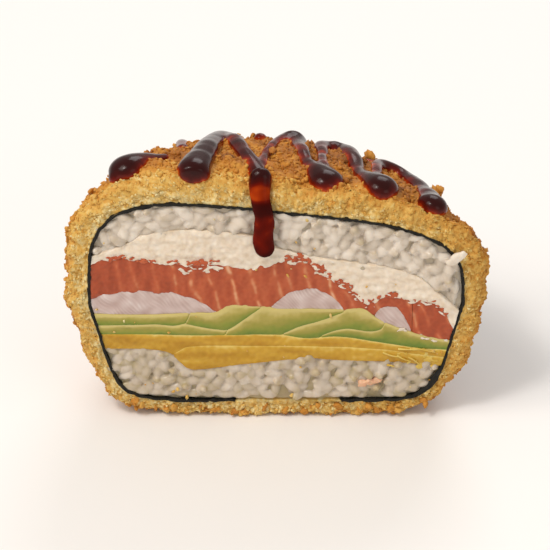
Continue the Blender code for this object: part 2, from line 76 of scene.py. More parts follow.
def add_node(tree, kind, links=(), sockets=(), stops=(), onto=None, **settings):
    """Adds a node with its settings, its (socket, source) and (socket, value) pairs, a ramp's colour stops
    and the socket that its first output goes onto."""
    made = tree.nodes.new(kind)
    for name, value in settings.items():
        setattr(made, name, value)
    for socket, value in sockets:
        made.inputs[socket].default_value = value
    for socket, source in links:
        tree.links.new(source, made.inputs[socket])
    for i, (place, code) in enumerate(stops):
        while len(made.color_ramp.elements) <= i:
            made.color_ramp.elements.new(1.0)
        made.color_ramp.elements[i].position = place
        made.color_ramp.elements[i].color = linear(code)
    if onto:
        tree.links.new(made.outputs[0], onto)
    return made


def new_finish(name, **sockets):
    """A material, its tree and its Principled shader, with the shader's sockets set."""
    made = bpy.data.materials.new(name)
    made.use_nodes = True
    shader = made.node_tree.nodes["Principled BSDF"]
    for socket, value in sockets.items():
        shader.inputs[socket.replace("_", " ")].default_value = value
    return made, made.node_tree, shader


ELEVATION = math.radians(33)
STAND_OFF = 1.0
sight = Vector((-0.0003, -0.012, 0.0335))
lens = bpy.data.cameras.new("camera")
lens.lens = 262
lens.clip_end = 20
camera = bpy.data.objects.new("camera", lens)
camera.location = sight + Vector((0, -math.cos(ELEVATION), math.sin(ELEVATION))) * STAND_OFF
camera.rotation_euler = (math.pi / 2 - ELEVATION, 0, 0)
bpy.context.scene.collection.objects.link(camera)
bpy.context.scene.camera = camera


def started_from(primitive, **settings):
    """A new primitive, with nothing else selected."""
    bpy.ops.object.select_all(action="DESELECT")
    primitive(**settings)
    return bpy.context.object


table = started_from(bpy.ops.mesh.primitive_plane_add, size=6)
table.name = "table"
table_finish, _, _ = new_finish("pale_table", Base_Color=linear("F3F2F1"), Roughness=0.55)
table.data.materials.append(table_finish)

for name, place, size, power, tint in (
    ("soft_box", (-0.7, -0.4, 1.15), 0.8, 9.2, "FFF6EC"),
    ("window", (-0.5, -0.5, 1.2), 0.2, 3.6, "FFFAF5"),
    ("side_fill", (1.0, -1.2, 0.7), 0.8, 2.0, "FFF6EC"),
    ("rim_box", (0.3, 1.1, 0.9), 0.7, 5.0, "FFFFFF"),
):
    glow = bpy.data.lights.new(name, "AREA")
    glow.size = size
    glow.energy = power
    glow.color = linear(tint)[:3]
    box = bpy.data.objects.new(name, glow)
    box.location = place
    box.rotation_euler = (sight - Vector(place)).to_track_quat("-Z", "Y").to_euler()
    bpy.context.scene.collection.objects.link(box)

room = bpy.data.worlds.new("room")
room.use_nodes = True
walls = room.node_tree.nodes["Background"]
walls.inputs["Color"].default_value = linear("FFFCF7")
walls.inputs["Strength"].default_value = 0.5
bpy.context.scene.world = room
bpy.context.scene.view_settings.view_transform = "Standard"

# ---- Panko coat -------------------------------------------------------------------------------------------
# Panko is coarse dried bread crumb. Fried, it turns golden outside with browner tips, and where the coat is
# cut it is pale and crumbly. The coat is a craggy shell, flat underneath from standing.

MM = 0.001
GAP = 0.3 * MM  # what the frame's solids leave between each other
NORI = 0.8 * MM
WRAPPED = 2 * GAP + NORI  # all that lies between the filling and the coat
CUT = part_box("cream_cheese")[0].y  # the plane of the cut
HALF_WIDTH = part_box("nori")[1].x - GAP - NORI  # of the filling, at its waist
WAIST = 34.0 * MM  # height of the widest level
RISE, DROP, REACH = 26.2 * MM, 28.3 * MM, 44.5 * MM  # waist to top, waist to underside, cut to rear
LEAN, TAPER = 0.2, 0.155  # how the crown slopes to the right, and the flanks draw in downwards
FULL_ABOVE, FULL_BELOW = 2.15, 4.6  # how long it stays wide on the way back, above the waist and below it
CROWN_ROUNDED = 0.43  # share of the way back where the crown has its rear squareness


class Skin:
    """The patty's surface, grown outwards at its sides, top, rear and base, or alike all round. Squareness is
    that of the crown at the cut, of the crown further back and of the base."""

    def __init__(self, side, top=None, rear=None, base=None, squareness=(3.8, 2.5, 8.0)):
        if top is None:
            top = rear = base = side
        self.width, self.rise = HALF_WIDTH + side, RISE + top
        self.reach, self.drop = REACH + rear, DROP + base
        self.squareness = squareness

    def narrowing(self, back, fullness=FULL_ABOVE):
        """Share of a section's size that is left at shares of the way back."""
        return (1 - np.clip(back, 0, 1) ** fullness) ** (1 / fullness)

    def crown(self, back):
        """Squareness of the crown and how much it leans, at shares of the way back."""
        way = np.clip(back / CROWN_ROUNDED, 0, 1)
        cut, rear, _ = self.squareness
        return cut + (rear - cut) * way * way * (3 - 2 * way), LEAN * (1 + 0.3 * np.clip(back, 0, 1))

    def points(self, across, up, back):
        """Points in directions round the waist line, at shares of the way back."""
        above = up >= 0
        power, lean = self.crown(back)
        power = np.where(above, power, self.squareness[2])
        height = np.where(above, self.rise, self.drop)
        radius = ((np.abs(across) / self.width) ** power + (np.abs(up) / height) ** power) ** (-1 / power)
        x = radius * across * self.narrowing(back)
        lift = radius * up * self.narrowing(back, np.where(above, FULL_ABOVE, FULL_BELOW))
        z = np.where(above, lift * (1 - lean * x / self.width), lift)
        x = np.where(above, x, x * (1 + TAPER * lift / self.drop))
        return np.stack([x, CUT + self.reach * back, WAIST + z], -1)

    def holds(self, points):
        """Whether points lie inside this skin."""
        x, y, z = points.T
        back = np.clip((y - CUT) / self.reach, 0, 0.999999)
        plan = self.width * self.narrowing(back)
        power, lean = self.crown(back)
        lift = np.abs(z - WAIST)
        level = lift / (1 - lean * x / self.width) / self.rise / self.narrowing(back)
        upper = (np.abs(x) / plan) ** power + level**power < 1
        inset = np.abs(x) / (1 - TAPER * np.minimum(lift, self.drop) / self.drop)
        base = self.squareness[2]
        lower = (inset / plan) ** base + (lift / self.drop / self.narrowing(back, FULL_BELOW)) ** base < 1
        return np.where(z >= WAIST, upper, lower) & (y < CUT + self.reach)

    def distance(self, starts, way):
        """How far it is from points inside to this skin, along one direction each."""
        near, far = np.zeros(len(starts)), np.full(len(starts), 3 * HALF_WIDTH)
        for _ in range(26):  # halved as often as that, the rest is under a hundredth of a micrometre
            middle = (near + far) / 2
            within = self.holds(starts + way * middle[:, None])
            near, far = np.where(within, middle, near), np.where(within, far, middle)
        return near


def coordinates(mesh):
    flat = np.empty(3 * len(mesh.vertices))
    mesh.vertices.foreach_get("co", flat)
    return flat.reshape(-1, 3)


def outward(mesh):
    flat = np.empty(3 * len(mesh.vertices))
    mesh.vertex_normals.foreach_get("vector", flat)
    return flat.reshape(-1, 3)


def put(mesh, places):
    mesh.vertices.foreach_set("co", np.ascontiguousarray(places, dtype=float).ravel())
    mesh.update()


def tag(mesh, name, values):
    """Stores one number for each vertex, for a material to read."""
    stored = mesh.attributes.new(name, "FLOAT", "POINT")
    stored.data.foreach_set("value", np.ascontiguousarray(values, dtype=float))


def lumps(places, size, seed=0.0):
    """Smooth noise from -1 to 1, with lumps of a size."""
    moved = places / size + seed
    return np.array([noise.noise(Vector(p)) for p in moved])


def cells(places, size, seed=0.0):
    """Distances to the nearest and second nearest of scattered cell centres, in cell sizes."""
    moved = places / size + seed
    return np.array([noise.voronoi(Vector(p))[0][:2] for p in moved]).T


def shell(name, segments, rings, outside, lining):
    """A closed half shell made from one sphere. Its rear rings become the outside, the next ones the cut edge
    and its front rings, pushed inside, the lining. Gives the piece, how far in, 0 to 1, each vertex is, and
    a number for each by its place on the sphere, because Blender's own numbers differ from run to run."""
    outer, edge, inner = rings
    made = started_from(bpy.ops.mesh.primitive_uv_sphere_add, segments=segments, ring_count=sum(rings),
                        rotation=(-math.pi / 2, 0, 0))  # one pole to the back
    made.name = name
    bpy.ops.object.transform_apply(location=False, rotation=True, scale=False)
    unit = coordinates(made.data)
    ring = np.round(np.arccos(np.clip(unit[:, 1], -1, 1)) / math.pi * sum(rings))
    turn = np.round(np.arctan2(unit[:, 2], unit[:, 0]) / math.tau * segments) % segments
    reach = np.maximum(np.hypot(unit[:, 0], unit[:, 2]), 1e-5)
    across, up = np.where(reach > 1e-5, unit[:, [0, 2]].T / reach, [[1], [0]])
    behind = np.cos(np.minimum(ring / outer, 1) * math.pi / 2)
    within = np.sin(np.clip((ring - outer - edge) / inner, 0, 1) * math.pi / 2)
    back = np.clip(behind + within, 0, 1)
    depth = np.clip((ring - outer) / edge, 0, 1)
    outer_skin, inner_skin = outside.points(across, up, back), lining.points(across, up, back)
    put(made.data, outer_skin * (1 - depth[:, None]) + inner_skin * depth[:, None])
    return made, depth, ring * segments + turn


def from_middle(places):
    """Directions in the plane of the cut, away from the middle of the patty."""
    radial = places - np.array([0, CUT, WAIST])
    radial[:, 1] = 0
    return radial / np.maximum(np.linalg.norm(radial, axis=1), 1e-6)[:, None]


COAT_THICKNESS = np.array([5.1, 6.4, 6, 5]) * MM  # at the sides, top, rear and base
COATED = Skin(*WRAPPED + COAT_THICKNESS, (3.4, 2.3, 4.8))
coat, depth, number = shell("panko_coat", 500, (150, 13, 10), COATED, Skin(WRAPPED - 0.5 * MM))
places, out = coordinates(coat.data), outward(coat.data)
lined = depth >= 1
crag = 0.5 * lumps(places, 13 * MM) + 0.9 * (0.4 - cells(places, 6.5 * MM)[0])
crag = 2.0 * MM * (crag + 0.55 * lumps(places, 3.7 * MM))
flake = np.clip(2.2 * np.subtract(*cells(places, 2.7 * MM, 5.0)[::-1]), 0, 1)
broken = np.clip(2.2 * np.subtract(*cells(places, 1.3 * MM, 9.0)[::-1]), 0, 1)
fine = 0.35 * MM * (flake - 0.6) + 0.4 * MM * (broken - 0.6) + 0.3 * MM * lumps(places, 0.8 * MM)
outer_share = np.where(lined, 0, 1 - depth)
# Towards the cut the relief turns into the cut's plane and the rim crumbles back, so that no ridge is left.
near = np.where(depth > 0, 1 - lined, np.clip(1 - (places[:, 1] - CUT) / (4 * MM), 0, 1))[:, None]
places += ((crag + fine) * outer_share)[:, None] * (out * (1 - near) + from_middle(places) * near)
rounded = np.maximum(outer_share - 0.55, 0) / 0.45
crumbly = 0.8 * MM * (1 - broken) + 0.4 * MM * lumps(places, 0.9 * MM, 3.0)
crumbly += 0.8 * MM * lumps(places, 2.6 * MM, 1.0)
places[:, 1] += near[:, 0] * (crumbly + 1.7 * MM * rounded**2)
places[:, 1] = np.maximum(places[:, 1], CUT - 0.1 * MM)
resting = 0.1 * MM * (1 + lumps(places, 3 * MM, 7.0))
places[:, 2] = np.where(lined, places[:, 2], np.maximum(places[:, 2], resting))
put(coat.data, places)
# From 0, pale crumb, to 1, browned: pale on the cut and just behind it, browner on the tips and in patches,
# and darker to the right, outside and on the cut, as painted shade.
painted_shade_to_right = np.clip(places[:, 0] / HALF_WIDTH, 0, 1)
from_cut = np.clip((places[:, 1] - CUT - 2 * MM * lumps(places, 5 * MM, 2.0)) / (12 * MM), 0, 1)
patches = 0.2 * lumps(places, 9 * MM, 4.0) + 0.1 * lumps(places, 3 * MM, 6.0)
outside_tone = 0.12 + 0.3 * from_cut + 1.35 * patches + 0.1 * (1 - flake)
outside_tone += 0.1 * np.clip(crag / (1.5 * MM), -1, 1)
# Painted shade: the outside grows darker towards the right.
outside_tone += 0.22 * painted_shade_to_right * from_cut
cut_tone = -0.06 + 0.18 * outer_share**2 + 0.1 * (1 - broken) + 0.1 * lumps(places, 2 * MM, 5.0)
# Painted shade: the cut grows darker towards the right.
cut_tone += 0.08 * painted_shade_to_right + 0.1 * np.clip(lumps(places, 5 * MM, 7.0), 0, 1)
toast_and_shade = np.where(outer_share < 1, cut_tone, outside_tone)
RAW, BURNT = -0.15, 1  # the palest and the brownest that a crumb can be
tag(coat.data, "toast_and_shade", np.clip(toast_and_shade, RAW, BURNT))
coat.data.shade_smooth()

# Fried bread crumb: dry and matt with a trace of oil, every crumb its own shade of gold.
panko, tree, shader = new_finish("fried_panko", Roughness=0.65, IOR=1.38, Subsurface_Weight=0.12,
                                 Subsurface_Scale=1.0 * MM, Subsurface_Radius=(1.0, 0.7, 0.35))
where = add_node(tree, "ShaderNodeTexCoord").outputs["Object"]
grit = add_node(tree, "ShaderNodeTexNoise", [("Vector", where)],
                [("Scale", 1 / (0.7 * MM)), ("Detail", 3.0)]).outputs["Fac"]
bits = add_node(tree, "ShaderNodeTexVoronoi", [("Vector", where)], [("Scale", 1 / (1.2 * MM))])
bit_shade = add_node(tree, "ShaderNodeSeparateColor", [(0, bits.outputs["Color"])]).outputs[0]
# The coat's browning number also holds painted shade, darker to the right.
browning_and_shade = add_node(tree, "ShaderNodeAttribute", attribute_name="toast_and_shade").outputs["Fac"]
for pattern, strength in ((grit, 0.34), (bit_shade, 0.1)):
    browning_and_shade = add_node(tree, "ShaderNodeMath", [(0, pattern), (2, browning_and_shade)], [(1, strength)],
                        operation="MULTIPLY_ADD").outputs[0]
add_node(tree, "ShaderNodeValToRGB", [("Fac", browning_and_shade)], onto=shader.inputs["Base Color"],
         stops=[(0.1, "ECDBA4"), (0.3, "DBB15C"), (0.52, "CB8D36"), (0.8, "AA6A25"), (1.0, "7C491B")])
add_node(tree, "ShaderNodeBump", [("Height", grit)], [("Strength", 0.35), ("Distance", 0.3 * MM)],
         onto=shader.inputs["Normal"])
coat.data.materials.append(panko)
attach(coat, "root")
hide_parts("crust")

# ---- Loose crumbs of the coat -----------------------------------------------------------------------------
# Single flakes and broken bits of panko stand out of the coat at all angles. A few large ones stand well
# clear, more hang from the lower edge, and the knife has dragged some over the cut.


def faces_of(mesh, number):
    """Corners, centres, normals and areas of a mesh's triangles, in the order of their corners' numbers."""
    mesh.calc_loop_triangles()
    corners = np.empty(3 * len(mesh.loop_triangles), int)
    mesh.loop_triangles.foreach_get("vertices", corners)
    corners = corners.reshape(-1, 3)
    corners = corners[np.lexsort(np.sort(number[corners], axis=1).T)]
    a, b, c = (coordinates(mesh)[corners[:, i]] for i in range(3))
    cross = np.cross(b - a, c - a)
    area = np.linalg.norm(cross, axis=1)
    return corners, (a + b + c) / 3, cross / np.maximum(area, 1e-15)[:, None], area / 2


def turned_to(normals, spin, tilt):
    """Axes of pieces that lie on a surface with these normals, spun about them and then tipped up."""
    side = np.cross(normals, np.where(np.abs(normals[:, 1:2]) < 0.9, (0, 1, 0), (1, 0, 0)))
    side /= np.linalg.norm(side, axis=1)[:, None]
    other = np.cross(normals, side)
    along = side * np.cos(spin)[:, None] + other * np.sin(spin)[:, None]
    level = np.cross(normals, along)
    tipped = along * np.cos(tilt)[:, None] + normals * np.sin(tilt)[:, None]
    return np.stack([tipped, level, np.cross(tipped, level)], -1)


def copies(name, model, places, axes, sizes, jitter=0.0, seed=0):
    """One mesh of many copies of a model, each placed, turned and sized, with its corners moved a little."""
    draw = np.random.default_rng(seed)
    shape = coordinates(model.data)
    faces = [tuple(face.vertices) for face in model.data.polygons]
    uneven = 1 + jitter * (2 * draw.random((len(places), len(shape), 3)) - 1)
    local = shape[None] * uneven * sizes[:, None, :]
    moved = np.einsum("kij,knj->kni", axes, local) + places[:, None, :]
    mesh = bpy.data.meshes.new(name)
    joined = [tuple(v + k * len(shape) for v in face) for k in range(len(places)) for face in faces]
    mesh.from_pydata(moved.reshape(-1, 3), [], joined)
    made = bpy.data.objects.new(name, mesh)
    bpy.context.scene.collection.objects.link(made)
    return made


def strewn(name, model, places, normals, length, shade, seed):
    """Crumbs of these lengths lying on a surface, each at its own angle and as brown, painted shade included,
    as its shade says.
    """
    draw = np.random.default_rng(seed)
    count = len(places)
    breadth = length * (0.45 + 0.4 * draw.random(count))
    sizes = np.stack([length, breadth, length * (0.25 + 0.3 * draw.random(count))], -1)
    axes = turned_to(normals, draw.random(count) * math.tau, draw.random(count) ** 1.5 * 1.3)
    lying = places + normals * (length * draw.uniform(0.0, 0.3, count))[:, None]
    margin = 0.7 * length[:, None]
    lying = np.clip(lying, np.array(cad_box[0]) + margin, np.array(cad_box[1]) - margin)
    lying[:, 2] = np.maximum(lying[:, 2], 1.25 * length)
    made = copies(name, model, lying, axes, sizes, 0.3, seed)
    tag(made.data, "toast_and_shade", np.repeat(np.clip(shade, RAW, BURNT), len(model.data.vertices)))
    made.data.shade_smooth()
    made.data.materials.append(panko)
    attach(made, "root")


def on_the_cut(x, z):
    return np.stack([x, np.full_like(x, CUT), z], -1)


def on_coat(across, tilt):
    """Where lines from the waist, tilted back and up, meet the coat's smooth skin, and the way they go."""
    tilt = np.radians(tilt)
    starts = on_the_cut(across * MM, np.full_like(tilt, WAIST))
    way = np.stack([0 * tilt, np.cos(tilt), np.sin(tilt)], -1)
    return starts + way * COATED.distance(starts, way)[:, None], way


crumb = started_from(bpy.ops.mesh.primitive_ico_sphere_add, subdivisions=1, radius=1)
corners, centres, normals, areas = faces_of(coat.data, number)
share_out = outer_share[corners].min(axis=1)
tone = toast_and_shade[corners].mean(axis=1)
outer_faces = (share_out > 0.99) & (centres[:, 2] > 1.2 * MM)
cut_faces = (share_out > 0.03) & (share_out < 0.99)


def picked_from(draw, faces, count):
    """Faces drawn at random from some of the coat's, each as likely as it is large."""
    chances = areas * faces
    return draw.choice(len(areas), count, p=chances / np.sum(chances))


for kind, faces, count, small, large, seed in (
    ("flakes", outer_faces, 7000, 0.35, 1.05, 3),
    ("broken_bits", outer_faces, 8000, 0.25, 0.5, 5),
    ("cut_bits", cut_faces, 3200, 0.22, 0.55, 6),
):
    draw = np.random.default_rng(seed)
    picked = picked_from(draw, faces, count)
    length = MM * (small + (large - small) * draw.random(count) ** 2.2)
    # Each crumb takes the browning and the painted shade of the coat's face it lies on.
    shade = tone[picked] + draw.normal(0.0, 0.07, count)
    strewn("panko_" + kind, crumb, centres[picked], normals[picked], length, shade, seed)

# The largest crumbs: a spread over the coat by golden section, a fringe at its foot, and two stacks of them
# that stand on the crown.
SPREAD, FRINGE, STACK = 44, (70, 60), 6  # how many, in the fringe outside and on the cut, and in each stack
spread = np.arange(SPREAD)
turn = np.radians(-60 + 300 * ((spread * 0.618034) % 1.0))
spread_places = COATED.points(np.cos(turn), np.sin(turn), 0.02 + 0.9 * (spread + 0.5) / SPREAD)
draw = np.random.default_rng(8)
fringe = np.concatenate([
    picked_from(draw, outer_faces & (centres[:, 2] < 5 * MM), FRINGE[0]),
    picked_from(draw, (share_out > 0.3) & (share_out < 0.99) & (centres[:, 2] < 6 * MM), FRINGE[1]),
])
crown_places = np.repeat(on_coat(np.array([23.0, 38.8]), np.array([31.0, 28.0]))[0], STACK, axis=0)
stacked = np.tile(np.linspace(-0.4, 2.0, STACK), 2)[:, None] * MM * np.array([0.3, 0, 1])
crown_places += draw.normal(0, 0.6 * MM, (2 * STACK, 3)) + stacked
places = np.concatenate([spread_places, centres[fringe], crown_places])
facing = np.concatenate([from_middle(spread_places), normals[fringe], from_middle(crown_places)])
counts = (SPREAD, sum(FRINGE), 2 * STACK)
length, shade = (
    np.concatenate([draw.uniform(low, high, count) for (low, high), count in zip(ranges, counts)])
    for ranges in (((0.8, 1.8), (0.7, 1.5), (1.2, 1.9)), ((0.35, 0.62), (0.1, 0.5), (0.35, 0.5)))
)
big_crumb = started_from(bpy.ops.mesh.primitive_ico_sphere_add, subdivisions=2, radius=1)
strewn("panko_large_crumbs", big_crumb, places, facing, MM * length, shade, 9)
bpy.data.objects.remove(big_crumb)

# ---- Glaze ------------------------------------------------------------------------------------------------
# Thick sweet soy glaze, squeezed over the hot crust in a zigzag. It beads on the crumb, pools where the line
# turned or was let go, runs down the back, and one run hangs down the cut.

# The zigzag over the crown: across in mm, tilt back from the cut's top edge (90) to the rear (0), half width
# in mm.
STROKES = [
    [(-36.3, 78, 4.4), (-31.5, 70, 2.4), (-27.5, 64, 1.3)],
    [(-20.1, 85, 3.9), (-17.5, 66, 3.0), (-15.7, 50, 2.7), (-13.2, 38, 2.6), (-10.9, 48, 2.1),
     (-7.6, 65, 2.0), (-4.3, 80, 2.3)],
    [(-3.9, 76, 1.5), (-2, 56, 1.2), (1, 42, 1.5), (4.1, 36, 2.6), (5.8, 48, 1.9), (8.0, 66, 1.8),
     (12.3, 79, 4.2)],
    [(11.8, 74, 1.5), (11.4, 52, 1.3), (12.8, 36, 2.2), (16.0, 34, 2.6), (18.7, 44, 2.4), (20.9, 60, 1.9),
     (25.6, 79, 4.1)],
    [(25.0, 72, 1.5), (24.8, 50, 1.3), (26.8, 34, 2.0), (31, 31, 2.2), (34.8, 40, 2.4), (36.9, 57, 2.8),
     (38.4, 78, 3.3)],
]
# Pools: across, tilt, half width and half length.
POOLS = [(-36.3, 77, 4.8, 5.4), (-19.9, 84, 4.2, 3.4), (4.1, 37, 3.7, 3.2), (12.1, 76, 4.3, 5.4),
         (14.6, 35, 3.2, 3.2), (25.4, 76, 4.3, 5.4), (38.2, 77, 3.4, 4.4)]
POOL_HEIGHTS = (2.8, 2.0)  # half the height at a pool's middle and round it, in mm
# Runs down the back: across, and the tilt at the head and at the foot.
BACK_RUNS = [(-33, 60, 8), (-23.5, 50, -10), (-13.4, 40, 6), (-4, 44, -16), (4.2, 36, 0), (14.2, 33, -20),
             (23, 38, -2), (31, 29, 6)]
DRIP_X, DRIP_FOOT, DRIP_HALF_WIDTH = -3.8 * MM, 49.0 * MM, 2.7 * MM  # the run down the cut
STEP = 0.22 * MM  # from one drop of a run to the next

crust_tree = BVHTree.FromObject(coat, bpy.context.evaluated_depsgraph_get())


def averaged(values, span):
    """Running mean over a span of neighbours."""
    padded = np.pad(values, ((span, span), (0, 0)), "edge")
    kernel = np.ones(2 * span + 1) / (2 * span + 1)
    return np.stack([np.convolve(padded[:, k], kernel, "valid") for k in range(values.shape[1])], -1)


def laid(line, span=0):
    """Places on the crumb, and directions out of it, for (across in mm, tilt in degrees, ...) rows."""
    skin, way = on_coat(line[:, 0], line[:, 1])
    aside = on_coat(line[:, 0] + 1, line[:, 1])[0] - on_coat(line[:, 0] - 1, line[:, 1])[0]
    ahead = on_coat(line[:, 0], line[:, 1] + 2)[0] - on_coat(line[:, 0], line[:, 1] - 2)[0]
    out = np.cross(aside, ahead)
    out *= np.sign(np.sum(out * way, axis=1))[:, None] / np.linalg.norm(out, axis=1)[:, None]
    height = []
    for place, direction in zip(skin, out):  # looked for from 8 mm above the smooth skin to 8 mm below it
        met = crust_tree.ray_cast(Vector(place + 8 * MM * direction), -Vector(direction), 16 * MM)[0]
        height.append([np.dot(np.array(met) - place, direction) if met else 0.0])
    height = np.array(height)
    return skin + out * (averaged(height, span) if span else height), out


def course(stations):
    """Places, directions and half widths in mm, evenly spaced along a smooth line laid through stations."""
    stations = np.array(stations, float)
    legs = np.hypot(np.diff(stations[:, 0]), 0.7 * np.diff(stations[:, 1]))
    at = np.concatenate([[0], np.cumsum(legs)])
    slopes = np.gradient(stations, at, axis=0)
    wanted = np.linspace(0, at[-1], int(at[-1] / 0.25))
    i = np.clip(np.searchsorted(at, wanted, "right") - 1, 0, len(at) - 2)
    run = (at[i + 1] - at[i])[:, None]
    s = (wanted - at[i])[:, None] / run
    line = stations[i] * (1 + 2 * s) * (1 - s) ** 2 + stations[i + 1] * s * s * (3 - 2 * s)
    line += slopes[i] * run * s * (1 - s) ** 2 - slopes[i + 1] * run * s * s * (1 - s)
    places, out = laid(line, 16)
    gone = np.concatenate([[0], np.cumsum(np.linalg.norm(np.diff(places, axis=0), axis=1))])
    even = np.arange(0, gone[-1], STEP)
    rows = np.concatenate([places, out, line[:, 2:]], axis=1)
    rows = np.stack([np.interp(even, gone, column) for column in rows.T], -1)
    return rows[:, :3], rows[:, 3:6], rows[:, 6]


drop = started_from(bpy.ops.mesh.primitive_uv_sphere_add, segments=20, ring_count=12, radius=1)
draw = np.random.default_rng(31)
beads = []  # place, outward direction, half width, half length, half height of each drop
DOWN = (0, 0.2, 0.4, 0.6, 0.75, 0.88, 1)  # shares of the way down a run at the back, which ends in a drop
runs = STROKES + [
    [(x * (1 + 0.04 * s), head + (foot - head) * s, 1.5 - 0.5 * s + 1.1 * s**4) for s in DOWN]
    for x, head, foot in BACK_RUNS
]
for stations in runs:
    places, out, width = course(stations)
    uneven = 1.06 + 0.06 * lumps(places, 8 * MM, 3.0)
    for place, direction, half in zip(places, out, (width * uneven + 0.12) * MM):
        beads.append((place + direction * 0.1 * half, direction, half, half, 0.75 * half))
for x, tilt, wide, long in POOLS:
    sideways = draw.uniform(-0.6, 0.6, 6) * wide
    lengthways = draw.uniform(-0.5, 0.6, 6) * long * 1.3
    sideways[0] = lengthways[0] = 0
    places, out = laid(np.stack([x + sideways, tilt + lengthways, 0 * sideways], -1), 2)
    for i, (place, direction) in enumerate(zip(places, out)):
        size = 0.9 if i == 0 else draw.uniform(0.35, 0.6)
        high = POOL_HEIGHTS[min(i, 1)]
        beads.append((place, direction, wide * size * MM, long * size * MM, high * MM))
top = COATED.distance(np.array([[DRIP_X, CUT, WAIST]]), np.array([[0, 0, 1.0]]))[0] + WAIST
hem = WAIST + RISE + WRAPPED + 0.8 * MM
face = CUT - GAP - 0.42 * DRIP_HALF_WIDTH
for s in np.linspace(0, 1, 90):  # over the coat's edge and down
    z = top + 0.6 * MM + (DRIP_FOOT + 2.4 * MM - top - 0.6 * MM) * s
    over_edge = np.clip((top - z) / (top - hem), 0, 1)
    y = CUT + 2.2 * MM + (face - CUT - 2.2 * MM) * np.sin(over_edge * math.pi / 2)
    swell = (1.08 - 0.16 * min(s / 0.3, 1) + 0.12 * max(s - 0.3, 0)) * DRIP_HALF_WIDTH
    swell *= 1 + 0.03 * math.sin(23 * s)
    place = np.array([DRIP_X + 1.1 * MM * s - 0.35 * MM * math.sin(9 * s), y, z])
    beads.append((place, np.array([0, -1.0, 0.25]), swell, swell, (0.72 - 0.2 * over_edge) * swell))
places, ways = (np.array([bead[i] for bead in beads]) for i in (0, 1))
sizes = np.array([bead[2:] for bead in beads])
ways = ways / np.linalg.norm(ways, axis=1)[:, None]
glaze = copies("glaze", drop, places, turned_to(ways, np.zeros(len(beads)), np.zeros(len(beads))), sizes)
bpy.data.objects.remove(drop)


def select_alone(piece):
    bpy.ops.object.select_all(action="DESELECT")
    piece.select_set(True)
    bpy.context.view_layer.objects.active = piece


def melted(piece, voxel, iterations):
    """Fuses a piece's overlapping parts into one closed skin and lets it settle smooth."""
    melt = piece.modifiers.new("Melt", "REMESH")
    melt.mode = "VOXEL"
    melt.voxel_size = voxel
    settle = piece.modifiers.new("Settle", "SMOOTH")
    settle.factor = 0.5
    settle.iterations = iterations
    select_alone(piece)
    bpy.ops.object.modifier_apply(modifier="Melt")
    bpy.ops.object.modifier_apply(modifier="Settle")


melted(glaze, 0.34 * MM, 23)
places = coordinates(glaze.data)
beside_drip = np.abs(places[:, 0] - DRIP_X) > 4.6 * MM
# Only that run hangs over the cut; what the pools at the edge reach past it is eased back behind it.
overhang = (places[:, 1] < CUT + MM) & beside_drip
eased = CUT + MM * np.exp(np.minimum(places[:, 1] - CUT - MM, 0) / MM)
places[:, 1] = np.where(overhang, eased, places[:, 1])
put(glaze.data, places)
# How thick the glaze lies, from 0 to 1. On the cut it is clear over the pale crust and darker over the rest.
film = np.array([crust_tree.find_nearest(Vector(p))[3] for p in places]) / (2.4 * MM)
hanging = np.interp(places[:, 2] / MM, (48, 49.5, 51, 54, 58, 60.5, 62, 64, 65.4, 68, 69.6),
                    (0.5, 0.75, 0.5, 0.4, 0.35, 0.4, 0.75, 0.7, 0.14, 0.18, 0.55))
hanging += 0.22 * lumps(places, 2.4 * MM, 6.0)
on_face = np.clip((CUT + 1.2 * MM - places[:, 1]) / (1.5 * MM), 0, 1) * ~beside_drip
film = film * (1 - on_face) + hanging * on_face
film += 0.08 * lumps(places, 3 * MM, 9.0)
tag(glaze.data, "film", np.clip(film, 0, 1))
tag(glaze.data, "gloss", 0.22 - 0.18 * on_face)
glaze.data.shade_smooth()

# Boiled-down soy glaze: near black where thick, clear red-brown where thin, as glossy as syrup, and less so
# on the cut, where the run is upright.
syrup, tree, shader = new_finish("soy_glaze", Roughness=0.19, IOR=1.45)
gloss = add_node(tree, "ShaderNodeAttribute", attribute_name="gloss").outputs["Fac"]
tree.links.new(gloss, shader.inputs["Specular IOR Level"])
thick = add_node(tree, "ShaderNodeAttribute", attribute_name="film").outputs["Fac"]
add_node(tree, "ShaderNodeValToRGB", [("Fac", thick)], onto=shader.inputs["Base Color"],
         stops=[(0.0, "C24E0E"), (0.14, "9A300A"), (0.32, "651206"), (0.6, "430B06"), (0.95, "2E0806")])
glaze.data.materials.append(syrup)
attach(glaze, "root")
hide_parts("crust")

# ---- Nori -------------------------------------------------------------------------------------------------
# One sheet of roasted seaweed is folded round the patty. Its ends don't quite meet underneath, and fried it
# is black-green, crinkled and torn along the cut, where scraps of it have bunched up.

nori_outside, nori_inside = Skin(GAP + NORI + 0.05 * MM), Skin(GAP + 0.05 * MM)
nori, depth, _ = shell("nori_sheet", 400, (60, 4, 40), nori_outside, nori_inside)
places, out = coordinates(nori.data), outward(nori.data)
crinkle = 0.16 * MM * lumps(places, 3.5 * MM, 2.0) + 0.12 * MM * lumps(places, 1.2 * MM, 6.0)
places += out * (crinkle * np.where(depth == 1, -1, 1))[:, None]
front = np.clip(1 - (places[:, 1] - CUT) / (1.5 * MM), 0, 1)
low_right = np.clip(1 - np.hypot(places[:, 0] - 40 * MM, places[:, 2] - 11 * MM) / (12 * MM), 0, 1)
bunched = np.clip(lumps(places * (1, 0, 1), 4 * MM, 4.0) + 1.2 * low_right - 0.4, 0, 1)
torn_edge = 0.35 * MM * lumps(places, 1.1 * MM, 5.0)
moved_in = np.where(depth == 1, 1.5 * MM * bunched + torn_edge + 0.05 * MM, 0.2 * MM + 0.5 * torn_edge)
places -= from_middle(places) * (front * moved_in)[:, None]
places[:, 1] += front * (0.6 * MM * lumps(places, 1.6 * MM, 8.0) - 0.15 * MM)
put(nori.data, places)
